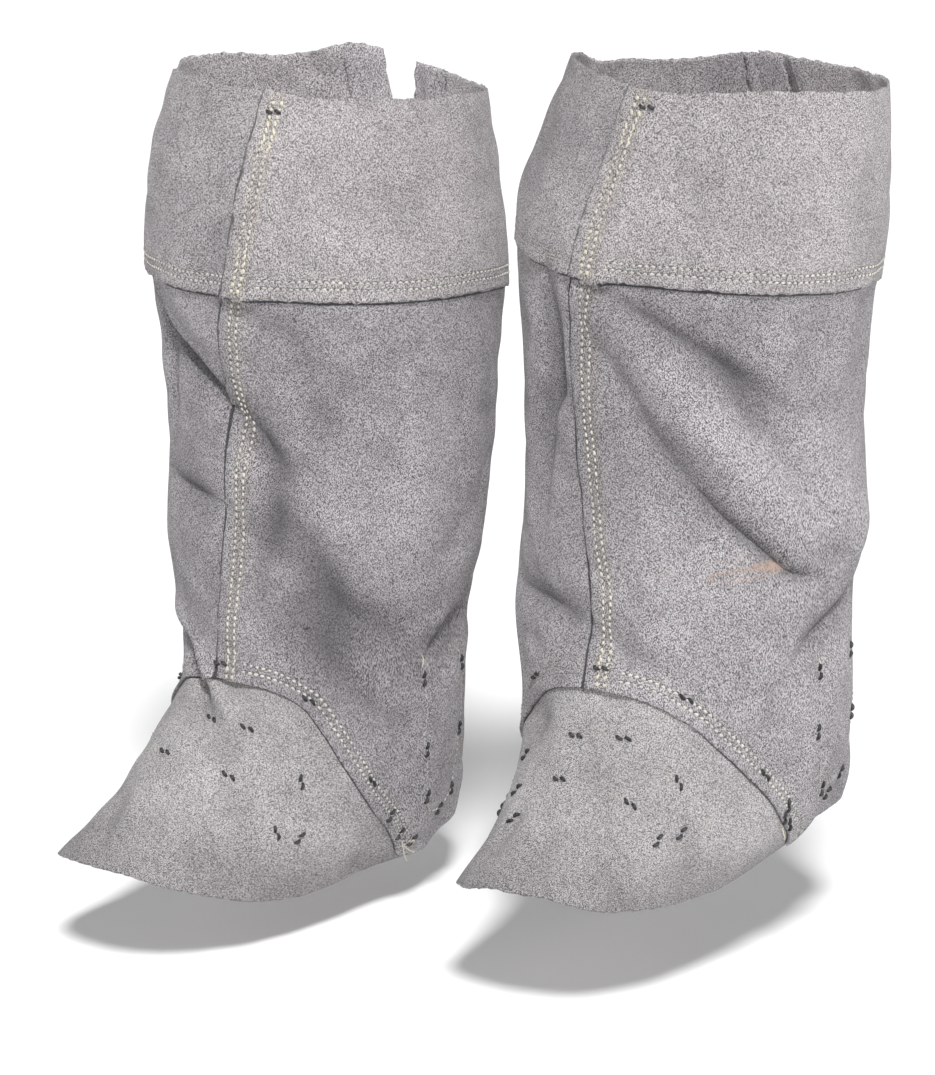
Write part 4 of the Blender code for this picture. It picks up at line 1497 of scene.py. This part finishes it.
# %% Staples: for each side and piece, their angle, height and turn in degrees
Staple = namedtuple("Staple", "side around up turn piece")
STAPLES = tuple(Staple(side, around, up / 1000, turn, piece) for side, piece, rows in (
    ("right", "cuff", (
        (1, 985, 0),
    )),
    ("right", "leg", (
        (-3, 332, 5), (34, 283, -28), (72, 177, -42), (84, 122, 62), (90, 77, 55), (94, 48, 45),
        (80, 297, 90), (88, 198, 84), (93, 130, 82), (106, 302, 86), (114, 203, 86), (116, 104, 80),
        (106, 96, 42),
    )),
    ("right", "vamp", (
        (1, 236, -14), (19, 230, -14), (49, 173, -70), (59, 106, 60), (-5, 173, -5), (24, 163, -16),
        (51, 108, -50),
    )),
    ("left", "cuff", (
        (3.5, 976, 0),
    )),
    ("left", "leg", (
        (0.5, 333, 0), (30, 308, -20), (61, 213, -40), (75, 163, -72), (77, 143, -72), (82, 124, -70),
        (78, 338, 88), (79, 258, 88), (87, 163, 85), (101, 350, 85), (105, 260, 85), (108, 150, 85),
        (93, 145, 42),
    )),
    ("left", "vamp", (
        (-5, 234, 0), (11, 242, 0), (33, 196, -55), (44, 133, 60), (-4, 170, 0), (22, 155, -25),
        (38, 118, 65), (-22, 144, 60), (-13, 105, 70),
    )),
) for around, up, turn in rows)
print("staples in the table:", len(STAPLES))

# %% A leg of staple wire
STAPLE_HALF = 0.0044
STAPLE_GAP_HALF = 0.0009
STAPLE_BOW = 0.0010
STAPLE_SUNK = 0.0003
STAPLE_SKEW = 0.0014
WIRE_RADIUS = 0.0011
WIRE_SIDES = 8
WIRE_TAPER = 0.5
WIRE_BLUNT = 0.4
BOW_SQUARE = 0.7
WIRE_POINTS = 9


def wire_leg(sign):
    """The points of one clinched leg: out of the leather, over in a low bow, and back into it."""
    t = np.linspace(0, 1, WIRE_POINTS)
    x = sign * (STAPLE_HALF - t * (STAPLE_HALF - STAPLE_GAP_HALF))
    y = sign * STAPLE_SKEW * (np.sin(t * math.pi * 0.5) - 0.5)
    z = (STAPLE_BOW + STAPLE_SUNK) * np.sin(t * math.pi) ** BOW_SQUARE - STAPLE_SUNK
    return np.stack([x, y, z], axis=-1)


def swept(points, radius):
    """The vertices and faces of a round wire along points, thinner and closed at both ends."""
    tangent = unit(np.gradient(points, axis=0))
    side = unit(np.cross(tangent, UP))
    up = np.cross(side, tangent)
    angle = np.arange(WIRE_SIDES) * 2 * math.pi / WIRE_SIDES
    taper = radius * np.sin(np.linspace(WIRE_TAPER, math.pi - WIRE_TAPER, len(points))) ** WIRE_BLUNT
    ring = np.cos(angle)[None, :, None] * side[:, None] + np.sin(angle)[None, :, None] * up[:, None]
    vertices = (points[:, None] + ring * taper[:, None, None]).reshape(-1, 3)
    faces = [tuple(reversed(range(WIRE_SIDES))), tuple(range(len(vertices) - WIRE_SIDES, len(vertices)))]
    for start in range(0, len(vertices) - WIRE_SIDES, WIRE_SIDES):
        for k in range(WIRE_SIDES):
            a, b = start + k, start + (k + 1) % WIRE_SIDES
            faces.append((a, b, b + WIRE_SIDES, a + WIRE_SIDES))
    return vertices, faces


def joined(name, forms, material):
    """Many small closed forms as one mesh object."""
    vertices, faces = [], []
    for form, form_faces in forms:
        faces += [tuple(len(vertices) + i for i in face) for face in form_faces]
        vertices += form.tolist()
    mesh = bpy.data.meshes.new(name)
    mesh.from_pydata(vertices, [], faces)
    mesh.shade_smooth()
    mesh.materials.append(material)
    return add_object(name, mesh)


print("wire", WIRE_RADIUS * 2000, "mm thick")

# %% Setting the staples
FAR_SIDE_FROM = 29
LAYERS = {"vamp": None, "leg": leg_height, "cuff": cuff_height}


def frame_on(legging, staple):
    """Where a staple or a thread's end lies, and its three directions: along, across and outward."""
    around, up = np.array([staple.around]), np.array([staple.up])
    layer, over = LAYERS[staple.piece], staple.around > -FRONT_HALF
    place, outward = line_on(legging, layer, around, up, over, LEATHER)
    height = layer(legging, around, up, over) if layer else 0.0
    ahead, _ = leather_at(legging.side, around + 0.5, up, height + LEATHER)
    level = ahead[0] - place[0]
    level = unit(level - outward[0] * (level @ outward[0]))
    turn = math.radians(staple.turn)
    along = level * math.cos(turn) + np.cross(outward[0], level) * math.sin(turn)
    return place[0], np.stack([along, np.cross(outward[0], along), outward[0]])


def make_staples(legging):
    """All staples of a legging in one mesh, those of the heel also on the far side."""
    near = [s for s in STAPLES if s.side == legging.side]
    far = [s._replace(around=-s.around, turn=180 - s.turn) for s in near if s.around > FAR_SIDE_FROM]
    forms = []
    for staple in near + far:
        place, directions = frame_on(legging, staple)
        for sign in (1, -1):
            leg, faces = swept(wire_leg(sign), WIRE_RADIUS)
            forms.append((place + leg @ directions, faces))
    print(f"{legging.side}_staples:", len(near + far))
    return joined(f"{legging.side}_staples", forms, staple_steel)


for legging in LEGGINGS:
    sewn[legging.side].append(make_staples(legging))

# %% [markdown]
# ## Thread ends
# Where a row was sewn over, its thread was left hanging: three ends at the right legging's corner
# and short ones beside two heel staples and at the left legging's corner. Each is a thin wire of
# thread through a few points, given in millimetres along the leather, up it and out of it.

# %% Thread ends
ThreadEnd = namedtuple("ThreadEnd", "side around up turn piece points")
THREAD_ENDS = (
    ThreadEnd("right", 92, 0.050, 0, "leg", ((0, 2, 0.2), (1.5, -3, 1.6), (4, -8, 2.2), (9, -14, 2.0))),
    ThreadEnd("right", 93, 0.040, 0, "leg", ((-1, 1, 0.2), (3, -2, 1.8), (8, -5, 2.6), (12, -7, 2.0))),
    ThreadEnd("right", 94, 0.048, 0, "leg", ((-2, -2, 0.3), (-1, 1, 1.4), (1, 0, 1.4), (2, -3, 0.3))),
    ThreadEnd("right", 79, 0.331, 0, "leg", ((0, 1, 0.2), (0.6, -2, 1.0), (0.2, -5, 0.9), (-0.6, -8, 0.3))),
    ThreadEnd("left", 80, 0.120, 0, "leg", ((0, 1, 0.2), (1, -2, 1.2), (3, -5, 1.6), (5, -8, 1.0))),
    ThreadEnd("left", 78, 0.352, 0, "leg", ((0, 1, 0.2), (0.5, -2, 0.9), (0, -4, 0.3))),
)
THREAD_RADIUS = 0.00035
THREAD_POINTS = 14


def make_thread_ends(legging):
    """All loose thread ends of a legging in one mesh."""
    forms = []
    for end in (e for e in THREAD_ENDS if e.side == legging.side):
        place, directions = frame_on(legging, end)
        curve = np.stack(curve_through(end.points, THREAD_POINTS), axis=-1) / 1000
        forms.append(swept(place + curve @ directions, THREAD_RADIUS))
    return joined(f"{legging.side}_thread_ends", forms, end_thread)


for legging in LEGGINGS:
    sewn[legging.side].append(make_thread_ends(legging))
print("thread ends:", len(THREAD_ENDS))

# %% [markdown]
# ## Fibres on the cut edges
# A cut through split leather leaves fine fibres standing out of the edge. The same tree sets them
# along every edge that shows: long thin beads turned at random about the leather's outward direction.

# %% Edge fibres
FIBRES = {"Pitch": 0.0011, "Length": 0.0026, "Width": 0.00016, "Height": 0.00016, "Tilt": 1.5, "Spread": 0.5,
          "Sides": 3, "Material": fibre}
FIBRE_SEED = 15


def edge_lines(legging):
    """Every cut edge that shows: the hem, the instep seam, the front laps, the cuff's foot and its rim."""
    edge = legging.cuff_edge
    foot, front = np.full(LINE_STEPS, edge), np.full(LINE_STEPS, -FRONT_HALF)
    runs = [(None, np.linspace(-CORNER, CORNER, LINE_STEPS), np.zeros(LINE_STEPS), True)]
    for over, sign in ((True, 1), (False, -1)):
        side = sign * np.linspace(-sign * FRONT_HALF, BACK_EDGE, LINE_STEPS)
        rim = opened(legging, side, 1.0)
        runs += [(leg_height, side, seam_height(side), over), (cuff_height, side, foot, over),
                 (cuff_height, rim, rim_up(legging, rim), over)]
    runs += [(leg_height, front, np.linspace(INSTEP_SEAM[0][1], edge, LINE_STEPS), True),
             (cuff_height, front, np.linspace(edge, 1.0, LINE_STEPS), True)]
    return [line_on(legging, *run, LEATHER / 2) for run in runs]


for seed, legging in enumerate(LEGGINGS):
    settings = {**FIBRES, "Seed": FIBRE_SEED + seed}
    sewn[legging.side].append(set_along(f"{legging.side}_edge_fibres", edge_lines(legging), settings))

# %% [markdown]
# ## Riding on the frame
# Each shell stands for its solid, which is hidden, and moves with the one body the object has.

# %% Riding, and hiding the solids
for side in ("right", "left"):
    dressed = [("vamp", "draped", [])]
    for lap in LAP_WORDS.values():
        dressed += [
            (f"leg_{lap}", "hung", [pieces[side, "vamp"]]),
            (f"cuff_{lap}", "hung", [pieces[side, f"leg_{lap}"]]),
            (f"facing_{lap}", "hung", [pieces[side, f"cuff_{lap}"]]),
        ]
    for word, held, carried_by in dressed:
        piece = pieces[side, word]
        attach(piece, "root")
        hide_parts(f"{side}_{word}")
        on_it = sewn[side] if word == "leg_over" else []
    for small in sewn[side]:
        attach(small, "root")
